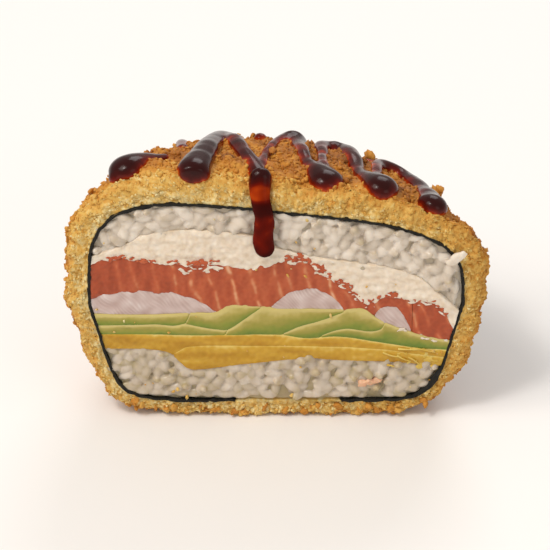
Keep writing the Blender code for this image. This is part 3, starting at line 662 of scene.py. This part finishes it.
# Where its ends don't meet: a ragged opening underneath, widest at the cut and drawn out to the back.
OPENING_X, OPENING_HALF_WIDTH, OPENING_REACH = 3 * MM, 13 * MM, 30 * MM
opening = started_from(bpy.ops.mesh.primitive_cylinder_add, vertices=120, radius=OPENING_HALF_WIDTH,
                       depth=8 * MM)
places = coordinates(opening.data) * (1, OPENING_REACH / OPENING_HALF_WIDTH, 1)
frayed = 1.6 * MM * lumps(places * (1, 1, 0.3), 2.2 * MM)[:, None] * (1, 0.5, 0)
places += np.array([OPENING_X, CUT, WAIST - DROP]) + frayed
put(opening.data, places)
opened = nori.modifiers.new("Opening", "BOOLEAN")
opened.operation = "DIFFERENCE"
opened.object = opening
select_alone(nori)
bpy.ops.object.modifier_apply(modifier="Opening")
bpy.data.objects.remove(opening)
nori.data.shade_smooth()
nori.data.set_sharp_from_angle(angle=math.radians(50))

# Roasted laver: black with a green cast, faintly satin where the fibres lie flat.
laver, tree, shader = new_finish("roasted_nori", Roughness=0.55, IOR=1.35)
where = add_node(tree, "ShaderNodeTexCoord").outputs["Object"]
fibre = add_node(tree, "ShaderNodeTexNoise", [("Vector", where)],
                 [("Scale", 1 / (0.9 * MM)), ("Detail", 4.0)]).outputs["Fac"]
add_node(tree, "ShaderNodeValToRGB", [("Fac", fibre)], onto=shader.inputs["Base Color"],
         stops=[(0.3, "070706"), (0.75, "201D14")])
add_node(tree, "ShaderNodeBump", [("Height", fibre)], [("Strength", 0.6), ("Distance", 0.2 * MM)],
         onto=shader.inputs["Normal"])
nori.data.materials.clear()
nori.data.materials.append(laver)
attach(nori, "root")
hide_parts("nori")

# ---- Rice -------------------------------------------------------------------------------------------------
# Cooked short-grain rice, pressed above and below the filling so that the grains stick and dent each other.
# Behind the grains that show at the cut, each layer is one lumpy mass.


def through(*stations):
    """A smooth line across the cut, as a function of x, through a few (x, z) stations in millimetres."""
    at, level = np.array(stations, float).T

    def height(x):
        along = np.clip(np.asarray(x, float) / MM, at[0], at[-1] - 1e-6)
        i = np.clip(np.searchsorted(at, along, "right") - 1, 0, len(at) - 2)
        before, after = np.maximum(i - 1, 0), np.minimum(i + 2, len(at) - 1)
        slope0 = (level[i + 1] - level[before]) / (at[i + 1] - at[before])
        slope1 = (level[after] - level[i]) / (at[after] - at[i])
        run = at[i + 1] - at[i]
        rise = level[i + 1] - level[i]
        s = (along - at[i]) / run
        bend = s * (1 - s) * (slope0 * run * (1 - s) - slope1 * run * s)
        return MM * (level[i] + rise * s + rise * s * (1 - s) * (2 * s - 1) + bend)

    return height


def within(line, low, high):
    return lambda x: np.clip(line(x), low(x), high(x))


def wavy(x, size, seed):
    """Smooth noise from -1 to 1 along a line, with waves of a size."""
    return lumps(np.stack([x, 0 * x, 0 * x], -1), size, seed)


def ragged(line, amount, size, seed):
    """A line with the small teeth that a knife leaves between two soft layers."""
    return lambda x: line(x) + amount * (wavy(x, size, seed) + 0.6 * wavy(x, size / 2.3, seed + 5))


UNDER_TOP_RICE = through((-46, 47.5), (-38, 50.5), (-32.7, 53.6), (-21.4, 55.2), (-6.3, 53.6), (1.2, 49.8),
                         (8.7, 47.8), (20, 45.8), (27.6, 44.4), (35, 41.6), (39, 38), (46, 31))
UNDER_MANGO = through((-46, 21), (-31, 20.6), (-26.4, 19.6), (-24.2, 17), (-21.8, 14.9), (-18, 14.7),
                      (-13.9, 15.3), (-2.5, 17), (8.7, 17.9), (16.3, 17.4), (27.6, 17), (38.8, 16), (46, 15))
SWELL = 0.2 * MM  # how far a layer grows into the gaps round its solid
FILLED = Skin(SWELL)


def outline(x, up):
    """Height of the filling's upper or lower edge on the cut at places across it."""
    across = np.clip(x, -0.9995 * HALF_WIDTH, 0.9995 * HALF_WIDTH)
    starts = on_the_cut(across, np.full_like(across, WAIST))
    return WAIST + up * FILLED.distance(starts, np.array([0, 0, float(up)]))


def slab(name, under, over, columns, rows, relief, left=-1.0, right=1.0, set_back=0.0):
    """A layer of filling from the cut to the back of the patty: a fine grid on the cut, extruded backwards.
    Relief gives the cut surface's depth from across, height and the distance to the layer's edge."""
    made = started_from(bpy.ops.mesh.primitive_grid_add, x_subdivisions=columns, y_subdivisions=rows, size=2)
    made.name = name
    bpy.ops.object.mode_set(mode="EDIT")
    bpy.ops.mesh.select_all(action="SELECT")
    bpy.ops.mesh.extrude_region_move(TRANSFORM_OT_translate={"value": (0, 0, -1)})
    bpy.ops.object.mode_set(mode="OBJECT")
    across, up, behind = coordinates(made.data).T
    across, up, behind = (across + 1) / 2, (up + 1) / 2, behind < -0.5

    def height(x):
        return (under(x) - SWELL) * (1 - up) + (over(x) + SWELL) * up

    ends = []
    for side, limit in ((-1, left), (1, right)):
        x = np.full(len(up), side * 0.99 * HALF_WIDTH)
        for _ in range(6):  # the line's height and where it meets the nori depend on each other
            starts = on_the_cut(0 * x, height(x))
            x = 0.5 * x + 0.5 * side * FILLED.distance(starts, np.array([side, 0.0, 0.0]))
        ends.append(np.maximum(x, limit) if side < 0 else np.minimum(x, limit))
    x = ends[0] + (ends[1] - ends[0]) * across
    z = height(x)
    edge = np.minimum(z - under(x), over(x) - z) + SWELL
    reach = np.maximum(FILLED.distance(on_the_cut(x, z), np.array([0, 1.0, 0])), set_back + 0.8 * MM)
    y = np.where(behind, CUT + reach, CUT + set_back + relief(x, z, np.maximum(edge, 0)))
    put(made.data, np.stack([x, y, z], -1))
    bpy.ops.object.mode_set(mode="EDIT")
    bpy.ops.mesh.select_all(action="SELECT")
    bpy.ops.mesh.normals_make_consistent(inside=False)
    bpy.ops.object.mode_set(mode="OBJECT")
    made.data.shade_smooth()
    made.data.set_sharp_from_angle(angle=math.radians(70))
    return made, x, z


def roof(x):
    return outline(x, 1)


def ground(x):
    return outline(x, -1)


def flat_on_cut(x, z):
    return np.stack([x, 0 * x, z], -1)


def out_of_cut(count):
    """The way out of the cut, once for each of a number of bits that lie on it."""
    return np.tile((0.0, -1.0, 0.0), (count, 1))


grain = started_from(bpy.ops.mesh.primitive_uv_sphere_add, segments=10, ring_count=9, radius=1,
                     rotation=(0, math.pi / 2, 0))  # its poles at the grain's ends
bpy.ops.object.transform_apply(location=False, rotation=True, scale=False)
shape = coordinates(grain.data)
shape[:, 1:] *= 1 - 0.12 * shape[:, :1] ** 2 - 0.08 * shape[:, :1]
shape[:, 2] += 0.12 * shape[:, 0] ** 2
put(grain.data, shape)
GRAIN = np.array([2.9, 1.5, 1.45]) * MM  # half sizes of a cooked grain

# Steamed starch: milky and a little see-through, moist enough to shine, yellower where juice has soaked in.
steamed, tree, shader = new_finish("steamed_rice", Roughness=0.2, IOR=1.4, Subsurface_Weight=0.6,
                                   Subsurface_Scale=1.6 * MM, Subsurface_Radius=(1.0, 0.9, 0.75))
# The stain number also holds painted shade: darker and olive in the creases between grains and on the core
# behind them.
stain_and_shade = add_node(tree, "ShaderNodeAttribute", attribute_name="stain_and_shade").outputs["Fac"]
where = add_node(tree, "ShaderNodeTexCoord").outputs["Object"]
starch = add_node(tree, "ShaderNodeTexNoise", [("Vector", where)],
                  [("Scale", 1 / (2.2 * MM)), ("Detail", 3.0)]).outputs["Fac"]
mixed = add_node(tree, "ShaderNodeMath", [(0, starch), (2, stain_and_shade)], [(1, 0.3)], operation="MULTIPLY_ADD")
add_node(tree, "ShaderNodeValToRGB", [("Fac", mixed.outputs[0])], onto=shader.inputs["Base Color"],
         stops=[(0.05, "E4D9CB"), (0.35, "C9BBA9"), (0.65, "B4A481"), (1.0, "9F8B58")])


def fused_grains(name, places, axes, sizes, stain_of, seed):
    """Grains stuck into one mass, each a little stained, with painted shade darkening the creases between
    them.
    """
    made = copies(name, grain, places, axes, sizes, 0.04, seed)
    melted(made, 0.27 * MM, 4)
    index = KDTree(len(places))
    for i, place in enumerate(places):
        index.insert(Vector(place), i)
    index.balance()
    nearest, apart = zip(*(index.find(Vector(p))[1:] for p in coordinates(made.data)))
    # Painted shade: darker the further a point lies from its grain's middle, in the creases.
    crease_shade = np.clip(np.array(apart) / (1.9 * MM) - 0.65, 0, 0.6)
    tag(made.data, "stain_and_shade", stain_of[list(nearest)] + 0.4 * crease_shade)
    made.data.materials.append(steamed)
    made.data.shade_smooth()
    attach(made, "root")
    return made


ACROSS, INWARD = 3.2 * MM, 2.1 * MM  # from grain to grain along the nori, and from row to row
COLUMNS, ROWS = 36, 12
for name, under, over, seed, tint in (
    ("rice_upper", UNDER_TOP_RICE, roof, 11, 0.0),
    ("rice_lower", ground, UNDER_MANGO, 23, 0.2),
):
    draw = np.random.default_rng(seed)
    upper = name == "rice_upper"

    def pressed(x, z, edge):
        return 0.5 * MM * np.clip(cells(flat_on_cut(x, z), 3 * MM, seed)[0], 0, 1)

    core, x, z = slab(name + "_core", under, over, 150, 24, pressed, set_back=0.75 * MM)
    # The core shows only in the gaps between the grains; its darker tone is painted shade.
    tag(core.data, "stain_and_shade", np.full(len(x), tint + 0.28))
    core.data.materials.append(steamed)
    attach(core, "root")
    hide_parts(name)
    spots = []  # two layers of grains, one behind the other, in rows that follow the nori
    for layer, behind in ((0, 1.15), (1, 2.4)):
        for i in range(COLUMNS):
            for k in range(ROWS):
                column = i - (COLUMNS - 1) / 2 + 0.5 * ((k + layer) % 2)
                x = column * ACROSS + draw.uniform(-0.9, 0.9) * MM
                inward = (1.1 + layer) * MM + k * INWARD + draw.uniform(-0.5, 0.5) * MM
                spots.append((x, CUT + (behind + draw.uniform(-0.2, 0.4)) * MM, inward))
    spots = np.array(spots)
    x, inward = spots[:, 0], spots[:, 2]
    spots[:, 2] = roof(x) - inward if upper else ground(x) + inward
    border = np.arange(-44, 44.1, 3.1) * MM  # one more row lies along the neighbouring layer
    along_border = under(border) + 0.5 * MM if upper else over(border) - 0.9 * MM
    behind = CUT + 1.3 * MM + draw.uniform(-0.2, 0.4, len(border)) * MM
    spots = np.concatenate([spots, np.stack([border, behind, along_border], -1)])
    x, z = spots[:, 0], spots[:, 2]
    clear_low, clear_high = (-0.4 * MM, 0.8 * MM) if upper else (0.8 * MM, 0.7 * MM)
    kept = np.abs(x) < HALF_WIDTH - 0.4 * MM
    kept &= z > np.maximum(under(x), ground(x)) + clear_low
    kept &= z < np.minimum(over(x), roof(x)) - clear_high
    spots = spots[kept]
    x, z, count = spots[:, 0], spots[:, 2], len(spots)
    by_glaze = (np.abs(x - DRIP_X) < DRIP_HALF_WIDTH + 1.2 * MM) & (z > DRIP_FOOT - 3 * MM)
    spots[:, 1] = np.where(by_glaze, np.maximum(spots[:, 1], CUT + 1.7 * MM), spots[:, 1])
    if upper:  # its lowest grains are half sunk in the cheese
        spots[:, 1] += 0.8 * MM * np.clip(1 - (z - under(x)) / (1.6 * MM), 0, 1)
    turn = draw.uniform(-math.pi / 2, math.pi / 2, count)
    by_nori = np.minimum(roof(x) - z, z - ground(x)) < 2.2 * MM  # there they lie along it
    turn = np.where(by_nori, math.pi / 2 + 0.2 * turn, turn)
    turn = np.where(np.abs(x) > HALF_WIDTH - 4 * MM, 0.2 * turn, turn)
    tip = np.where(draw.random(count) < 0.16, draw.uniform(0.7, 1.3, count), draw.uniform(-0.4, 0.4, count))
    tip = np.where(by_glaze, 0.1, tip)
    axes = turned_to(out_of_cut(count), turn, tip)
    sizes = GRAIN * draw.uniform(0.82, 1.06, (count, 1)) * draw.uniform(0.93, 1.07, (count, 3))
    stained = tint + draw.uniform(-0.18, 0.12, count)
    grains = fused_grains(name + "_grains", spots, axes, sizes, stained, seed)
    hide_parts(name)

# One broken grain, fused from two halves, lies over the edge of the nori.
low, high = (np.array(corner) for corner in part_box("loose_grain"))
middle, half = (low + high) / 2, (high - low) / 2
places = middle + np.array([[0.0, 0.0, 0.0], [-0.4, 0.0, -0.4], [0.42, 0.0, 0.45], [-0.1, 0.0, 0.3]]) * half
axes = turned_to(out_of_cut(4), np.array([-1.0, -1.5, -0.4, -0.9]), np.zeros(4))
sizes = np.array([[1.08, 0.38, 1.0], [0.6, 0.34, 0.8], [0.48, 0.3, 0.6], [0.6, 0.3, 0.6]]) * half[0]
sizes[:, 2] = 0.85 * half[1]
loose = fused_grains("loose_grain_piece", places, axes, sizes, np.array([-0.1, -0.06, -0.12, -0.1]), 5)
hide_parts("loose_grain")
bpy.data.objects.remove(grain)

# ---- Cream cheese -----------------------------------------------------------------------------------------
# A thick spread of cream cheese under the upper rice, dragged down over the salmon by the knife.

UNDER_CHEESE = ragged(
    through((-46, 46), (-39.5, 47.2), (-32.7, 46.7), (-26.7, 45.8), (-13.9, 45.6), (-6.3, 44.4),
            (-1.8, 45.3), (2.7, 47.1), (7.2, 46.9), (11, 43.4), (16, 40), (19.3, 37.2), (21.2, 34.6),
            (22.4, 33.6), (24, 34.9), (28, 36.4), (33, 35.2), (39, 34), (42, 31), (44, 26.5), (46, 24)),
    0.7 * MM, 2.6 * MM, 3.0)


def smeared(x, z, edge):
    places = flat_on_cut(x, z)
    streaks = lumps(places * (0.4, 1, 1.3), 2.4 * MM, 3.0) + 0.6 * lumps(places, 1.0 * MM, 8.0)
    pits = np.clip(lumps(places, 1.5 * MM, 12.0) - 0.3, 0, 1)
    return 0.42 * MM * streaks + 0.9 * MM * pits + 0.1 * MM * np.exp(-edge / (0.5 * MM)) - 0.1 * MM


cheese, x, z = slab("cream_cheese_spread", UNDER_CHEESE, UNDER_TOP_RICE, 260, 34, smeared)
# Fresh soft cheese: dense, smooth and off-white, mottled where the whey shows.
soft_cheese, tree, shader = new_finish("cream_cheese", Roughness=0.28, Subsurface_Weight=0.25,
                                       Subsurface_Scale=1.5 * MM, Subsurface_Radius=(1.0, 0.85, 0.6))
where = add_node(tree, "ShaderNodeTexCoord").outputs["Object"]
whey = add_node(tree, "ShaderNodeTexNoise", [("Vector", where)], [("Scale", 1 / (2.0 * MM)), ("Detail", 5.0)])
add_node(tree, "ShaderNodeValToRGB", [("Fac", whey.outputs["Fac"])], onto=shader.inputs["Base Color"],
         stops=[(0.3, "DCC8AE"), (0.5, "E9D9C4"), (0.75, "F1E6D6")])
cheese.data.materials.append(soft_cheese)
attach(cheese, "root")
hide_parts("cream_cheese")

# ---- Salmon -----------------------------------------------------------------------------------------------
# Raw salmon cut across the grain: orange muscle between pale fat lines, shredded along its top by the knife,
# with smears of cheese dragged over it.

UNDER_FISH = through((-46, 31), (-34, 30.6), (-20, 31.2), (-14.8, 31.4), (-12, 33.3), (-7, 33.4), (-2, 33),
                     (0, 32.4), (8, 32.4), (17, 32.2), (20.3, 32.5), (22.4, 31.9), (24.2, 30.2), (26.4, 28.6),
                     (29, 27.3), (33.9, 25.4), (38, 24), (46, 22.5))
SHRIMP = [(-52, -14.6, 6.8), (-1.4, 16.8, 5.9), (24.2, 33.6, 5.6)]  # left, right and height of each, in mm


def over_shrimp(x):
    """The fish's underside, lifted over the rounded back of each shrimp."""
    lift = 0 * x
    for left, right, height in SHRIMP:
        along = np.clip(np.abs(2 * (x / MM - left) / (right - left) - 1), 0, 1)
        lift = np.maximum(lift, height * MM * (1 - along**2.6))
    return UNDER_FISH(x) + lift * (1 + 0.1 * wavy(x, 3.5 * MM, 3.0))


def torn(x, z, edge):
    places = flat_on_cut(x, z)
    relief = 0.28 * MM * lumps(places * (1, 1, 0.5), 2 * MM, 4.0) + 0.12 * MM * lumps(places, 0.9 * MM, 2.0)
    return relief + 0.3 * MM * np.exp(-edge / (0.5 * MM))


# Raw fish: moist and a little see-through, orange muscle with cream-coloured fat between.
salmon_flesh, tree, shader = new_finish("raw_salmon", Roughness=0.26, IOR=1.4, Subsurface_Weight=0.2,
                                        Subsurface_Scale=1.2 * MM, Subsurface_Radius=(1.0, 0.4, 0.2))
fat = add_node(tree, "ShaderNodeAttribute", attribute_name="fat").outputs["Fac"]
add_node(tree, "ShaderNodeValToRGB", [("Fac", fat)], onto=shader.inputs["Base Color"],
         stops=[(0.0, "8C3A1C"), (0.3, "AE4E2B"), (0.5, "BF6039"), (0.75, "D38D62"), (1.0, "E6BA98")])
FAT_LINES = 18
draw = np.random.default_rng(17)
seams_at = -44 * MM + np.cumsum(draw.uniform(3.2, 7.0, FAT_LINES)) * MM
strength = draw.uniform(0.3, 0.9, FAT_LINES)
for name, left, right, columns in (
    ("salmon_slab", -1.0, 22.4 * MM, 280),
    ("salmon_strip", 22.5 * MM, 33.6 * MM, 50),
    ("salmon_end", 33.7 * MM, 1.0, 46),
):
    piece, x, z = slab(name + "_flesh", over_shrimp, UNDER_CHEESE, columns, 34, torn, left, right)
    places = flat_on_cut(x, z)
    above = z - 37 * MM  # over the slab's middle; the fat lines lean and bend away from it
    bent = x - 0.012 / MM * above**2 + 0.3 * above + 1.2 * MM * lumps(places, 7 * MM, 2.0)
    lines = [power * np.exp(-(((bent - at) / (0.55 * MM)) ** 2)) for at, power in zip(seams_at, strength)]
    broken_up = np.clip(0.8 + 1.2 * lumps(places, 2.5 * MM, 7.0), 0, 1)
    muscle = 0.36 + 0.16 * lumps(places * (1.6, 1, 0.5), 3 * MM, 5.0) - 0.13 * (x / HALF_WIDTH) ** 2
    muscle += 0.1 * lumps(places, 0.9 * MM, 1.0)
    tag(piece.data, "fat", np.clip(muscle + 0.62 * np.max(lines, axis=0) * broken_up, 0, 1))
    piece.data.materials.append(salmon_flesh)
    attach(piece, "root")
    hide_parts(name)


def shreds(name, places, length, height, seed, finish, spread=0.5, slim=0.35):
    """Torn scraps lying flat on the cut: many small rounded bits, fused where they touch."""
    draw = np.random.default_rng(seed)
    bit = started_from(bpy.ops.mesh.primitive_ico_sphere_add, subdivisions=1, radius=1)
    count = len(places)
    length = length * (0.5 + draw.random(count)) * MM
    sizes = np.stack([length, length * draw.uniform(slim, 2 * slim, count), np.full(count, height * MM)], -1)
    spin = math.pi / 2 + draw.normal(0, spread, count)
    axes = turned_to(out_of_cut(count), spin, draw.normal(0, 0.15, count))
    made = copies(name, bit, places, axes, sizes, 0.35, seed)
    bpy.data.objects.remove(bit)
    melted(made, 0.16 * MM, 2)
    made.data.materials.append(finish)
    made.data.shade_smooth()
    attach(made, "root")
    return made


def scattered(count, left, right, line, low, high, seed, out=0.15):
    """Places on the cut beside a line: across, so far above it, and a little in front of the cut."""
    draw = np.random.default_rng(seed)
    x = draw.uniform(left, right, count) * MM
    z = line(x) + draw.uniform(low, high, count) * MM
    return np.stack([x, np.full(count, CUT + 0.05 * MM) - draw.uniform(0, out, count) * MM, z], -1)


shredded = shreds("salmon_shreds", np.concatenate([
    scattered(70, -42, -14, UNDER_CHEESE, -0.4, 1.1, 41),
    scattered(90, 2, 22, UNDER_CHEESE, -0.4, 1.5, 42),
    scattered(40, 23, 42, UNDER_CHEESE, -0.4, 1.0, 43),
]), 0.6, 0.3, 44, salmon_flesh)
tag(shredded.data, "fat", 0.4 + 0.2 * lumps(coordinates(shredded.data), 2 * MM, 1.0))
shreds("cheese_smears", np.concatenate([
    scattered(22, -26, -14, UNDER_CHEESE, -2.2, 0.2, 51),
    scattered(26, 3, 20, UNDER_CHEESE, -1.6, 0.2, 52),
    scattered(14, 22, 41, UNDER_CHEESE, -1.2, 0.2, 53),
    scattered(12, 30, 43, UNDER_FISH, -0.8, 0.4, 54),
]), 0.9, 0.16, 55, soft_cheese, 0.3, 0.24)

# ---- Shrimp -----------------------------------------------------------------------------------------------
# Peeled cooked shrimp laid along the fish: pinkish white, glassy, with fine fibres curving across each back.

# Cooked shrimp: firm, wet and milky, each fibre paler in its middle.
cooked, tree, shader = new_finish("cooked_shrimp", Roughness=0.18, IOR=1.4, Subsurface_Weight=0.3,
                                  Subsurface_Scale=1.5 * MM, Subsurface_Radius=(1.0, 0.75, 0.65))
fibre = add_node(tree, "ShaderNodeAttribute", attribute_name="fibre").outputs["Fac"]
add_node(tree, "ShaderNodeValToRGB", [("Fac", fibre)], onto=shader.inputs["Base Color"],
         stops=[(0.0, "B4988F"), (0.35, "C5ADA6"), (0.65, "D2BEB8"), (1.0, "E6DAD5")])


def fibres(x, z):
    """Muscle fibres about a millimetre apart, leaning over to the left."""
    places = flat_on_cut(x, z)
    phase = (x + 0.9 * (z - 33 * MM) + 1.4 * MM * lumps(places, 5 * MM, 3.0)) / (1.15 * MM)
    strands = 0.18 * np.sin(math.tau * phase) * np.clip(0.5 + lumps(places, 3 * MM, 5.0), 0, 1)
    return 0.5 + strands + 0.45 * lumps(places, 2.5 * MM, 8.0)


def stringy(x, z, edge):
    return 0.35 * MM * (1 - fibres(x, z)) + 0.3 * MM * np.exp(-edge / (0.6 * MM)) - 0.15 * MM


for number, (left, right, _) in enumerate(SHRIMP, 1):
    left, right = (left + 0.25) * MM, (right - 0.25) * MM
    piece, x, z = slab(f"shrimp_{number}_flesh", UNDER_FISH, over_shrimp, 120, 26, stringy, left, right)
    tag(piece.data, "fibre", np.clip(fibres(x, z), 0, 1))
    piece.data.materials.append(cooked)
    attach(piece, "root")
    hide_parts(f"shrimp_{number}")

# ---- Avocado ----------------------------------------------------------------------------------------------
# Slices of ripe avocado leaning on each other, each buttery yellow towards the stone and green under its
# skin.

UNDER_AVOCADO = through((-46, 25), (-31, 25), (-20, 24.7), (0, 24.9), (8, 23.8), (15, 24.4), (23.7, 23),
                        (35, 21), (40.7, 20.5), (46, 20))
avocado_seams = [UNDER_FISH]
for stations in (
    ((-46, 27.6), (-31, 28), (-22.5, 28.4), (-20.5, 34)),
    ((-46, 27.6), (-22.5, 28), (-20, 27.5), (-14.5, 26.4), (-12, 26.4), (-8, 29.4), (-2.5, 34)),
    ((-46, 20), (-16, 24), (-12, 26.2), (-10, 36)),
    ((-46, 20), (-1.5, 24), (6, 27.4), (16, 31.2), (19, 34)),
    ((-46, 20), (8, 22.5), (12, 25), (17, 26.7), (26, 26.6), (28.5, 34)),
):
    avocado_seams.append(within(through(*stations), UNDER_AVOCADO, avocado_seams[-1]))
avocado_seams.append(UNDER_AVOCADO)


def sliced(x, z, edge):
    places = flat_on_cut(x, z)
    relief = 0.22 * MM * lumps(places * (0.4, 1, 1), 2.5 * MM, 1.0) + 0.08 * MM * lumps(places, 0.9 * MM, 6.0)
    return relief + 0.12 * MM * np.exp(-edge / (0.4 * MM)) - 0.05 * MM


def fruit_slice(name, under, over, rows, columns=None):
    """A slice between two lines, as far as it is half a millimetre thick. Gives the piece, its places on the
    cut and how high each lies in the slice, from 0 to 1."""
    thin = 0.5 * MM
    across = np.linspace(-HALF_WIDTH, HALF_WIDTH, 600)
    thick = across[over(across) - under(across) > thin]
    columns = columns or int((thick[-1] - thick[0]) / (0.33 * MM))
    piece, x, z = slab(name, under, over, columns, rows, sliced, thick[0], thick[-1])
    return piece, flat_on_cut(x, z), np.maximum(z - under(x), 0) / np.maximum(over(x) - under(x), thin)


# Ripe avocado: smooth and buttery, from pale yellow to green.
ripe, tree, shader = new_finish("ripe_avocado", Roughness=0.22, IOR=1.42, Subsurface_Weight=0.15,
                                Subsurface_Scale=1.2 * MM, Subsurface_Radius=(0.9, 1.0, 0.4))
green = add_node(tree, "ShaderNodeAttribute", attribute_name="green").outputs["Fac"]
add_node(tree, "ShaderNodeValToRGB", [("Fac", green)], onto=shader.inputs["Base Color"],
         stops=[(0.0, "CFBE76"), (0.25, "B2A252"), (0.5, "9B943E"), (0.78, "838D33"), (1.0, "68802C")])
for number, (over, under) in enumerate(zip(avocado_seams, avocado_seams[1:]), 1):
    piece, places, share = fruit_slice(f"avocado_{number}_flesh", under, over, 24)
    streak_and_highlight = 0.2 * lumps(places * (0.5, 1, 1.2), 2.4 * MM, number) + 0.1 * lumps(places, 1.0 * MM, number)
    # Painted highlight: a pale line along each slice's upper edge.
    streak_and_highlight -= 0.25 * np.exp(-((over(places[:, 0]) - places[:, 2]) / (0.5 * MM)) ** 2)
    near_skin = 0.2 if number == 6 else 0  # the lowest slice is the greenest
    tag(piece.data, "green", np.clip(1.0 - 1.08 * share**0.9 + streak_and_highlight + near_skin, 0, 1))
    piece.data.materials.append(ripe)
    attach(piece, "root")
    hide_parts(f"avocado_slice_{number}")

# ---- Mango ------------------------------------------------------------------------------------------------
# Two slices of ripe mango, one on the other, wet and golden with faint fibres along them, and loose fibres
# pulled out over the rice at the right.

MANGO_SEAM = within(
    through((-46, 15), (-26, 19), (-22, 21.2), (-10, 21.6), (14, 21.3), (26, 20.5), (36, 19), (46, 17.6)),
    UNDER_MANGO, UNDER_AVOCADO)
# Ripe mango: juicy and golden, with fine threads of fibre in it.
mango_flesh, tree, shader = new_finish("ripe_mango", Roughness=0.2, IOR=1.4, Subsurface_Weight=0.2,
                                       Subsurface_Scale=1.2 * MM, Subsurface_Radius=(1.0, 0.6, 0.15))
sweet = add_node(tree, "ShaderNodeAttribute", attribute_name="ripeness").outputs["Fac"]
add_node(tree, "ShaderNodeValToRGB", [("Fac", sweet)], onto=shader.inputs["Base Color"],
         stops=[(0.0, "E6CC72"), (0.3, "CFA336"), (0.6, "BA8A22"), (1.0, "966714")])
where = add_node(tree, "ShaderNodeTexCoord").outputs["Object"]
juice = add_node(tree, "ShaderNodeTexNoise", [("Vector", where)],
                 [("Scale", 1 / (0.9 * MM)), ("Detail", 2.0)]).outputs["Fac"]
add_node(tree, "ShaderNodeBump", [("Height", juice)], [("Strength", 0.35), ("Distance", 0.3 * MM)],
         onto=shader.inputs["Normal"])
for name, under, over in (
    ("mango_slice_1", MANGO_SEAM, UNDER_AVOCADO),
    ("mango_slice_2", UNDER_MANGO, MANGO_SEAM),
):
    piece, places, share = fruit_slice(name + "_flesh", under, over, 22, 240)
    ripeness = 0.48 + 0.3 * lumps(places * (0.3, 1, 1.3), 2.6 * MM, 4.0) + 0.16 * lumps(places, 1.1 * MM, 9.0)
    ripeness -= 0.45 * np.exp(-(1 - share) / 0.16)  # paler along its upper edge
    tag(piece.data, "ripeness", np.clip(ripeness - 0.002 * places[:, 0] / MM, 0, 1))
    piece.data.materials.append(mango_flesh)
    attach(piece, "root")
    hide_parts(name)

FIBRES, LINKS = 7, 7  # how many, and the straight links in each
draw = np.random.default_rng(61)
strings = bpy.data.curves.new("mango_fibres", "CURVE")
strings.dimensions = "3D"
strings.bevel_depth = 0.25 * MM
strings.bevel_resolution = 1
strings.use_fill_caps = True
for _ in range(FIBRES):
    at = np.array([draw.uniform(22, 34), draw.uniform(15.5, 21.0)])
    heading, bend, length = draw.normal(-0.25, 0.3), draw.uniform(-0.1, 0.1), draw.uniform(3.0, 7.0)
    spline = strings.splines.new("POLY")
    spline.points.add(LINKS)
    for step, point in enumerate(spline.points):
        lifted = 0.1 * MM + 0.25 * MM * math.sin(step * math.pi / LINKS)
        point.co = (at[0] * MM, CUT - lifted, at[1] * MM, 1)
        point.radius = 1.1 - 0.09 * step
        at += np.array([math.cos(heading), math.sin(heading)]) * length / LINKS
        heading += bend
threads = bpy.data.objects.new("mango_fibres", strings)
bpy.context.scene.collection.objects.link(threads)
select_alone(threads)
bpy.ops.object.convert(target="MESH")
threads = bpy.context.object
tag(threads.data, "ripeness", np.clip(0.1 + 0.3 * lumps(coordinates(threads.data), 4 * MM), 0, 1))
threads.data.materials.append(mango_flesh)
threads.data.shade_smooth()
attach(threads, "root")

pulp = shreds("mango_pulp", scattered(18, 30, 41, UNDER_MANGO, -1.2, 3.0, 62, 0.1), 1.2, 0.14, 64,
              mango_flesh, 0.5, 0.3)
tag(pulp.data, "ripeness", np.clip(0.15 + 0.3 * lumps(coordinates(pulp.data), 3 * MM), 0, 1))

# ---- Crumbs on the cut ------------------------------------------------------------------------------------
# The knife has carried single crumbs of the coat on to the rice and cheese, and a shred of salmon on to the
# lower rice.

CARRIED = 44
draw = np.random.default_rng(71)
turn = draw.uniform(0, math.tau, CARRIED)
inward = draw.random(CARRIED) ** 2
places = Skin(-0.5 * MM).points(np.cos(turn), np.sin(turn), np.zeros(CARRIED))
places = places + (np.array([0, CUT, WAIST]) - places) * (0.7 * inward)[:, None]
places[:, 1] = CUT - 0.05 * MM
length = MM * (0.25 + 0.6 * draw.random(CARRIED) ** 2)
strewn("carried_crumbs", crumb, places, out_of_cut(CARRIED), length, draw.uniform(-0.05, 0.2, CARRIED), 72)
bpy.data.objects.remove(crumb)
resting_on = through((20, 10.2), (27, 12))
dropped = shreds("salmon_scrap", scattered(30, 21, 26, resting_on, -0.6, 0.7, 73, 0.9), 0.9, 0.5, 74,
                 salmon_flesh)
tag(dropped.data, "fat", np.full(len(dropped.data.vertices), 0.95))
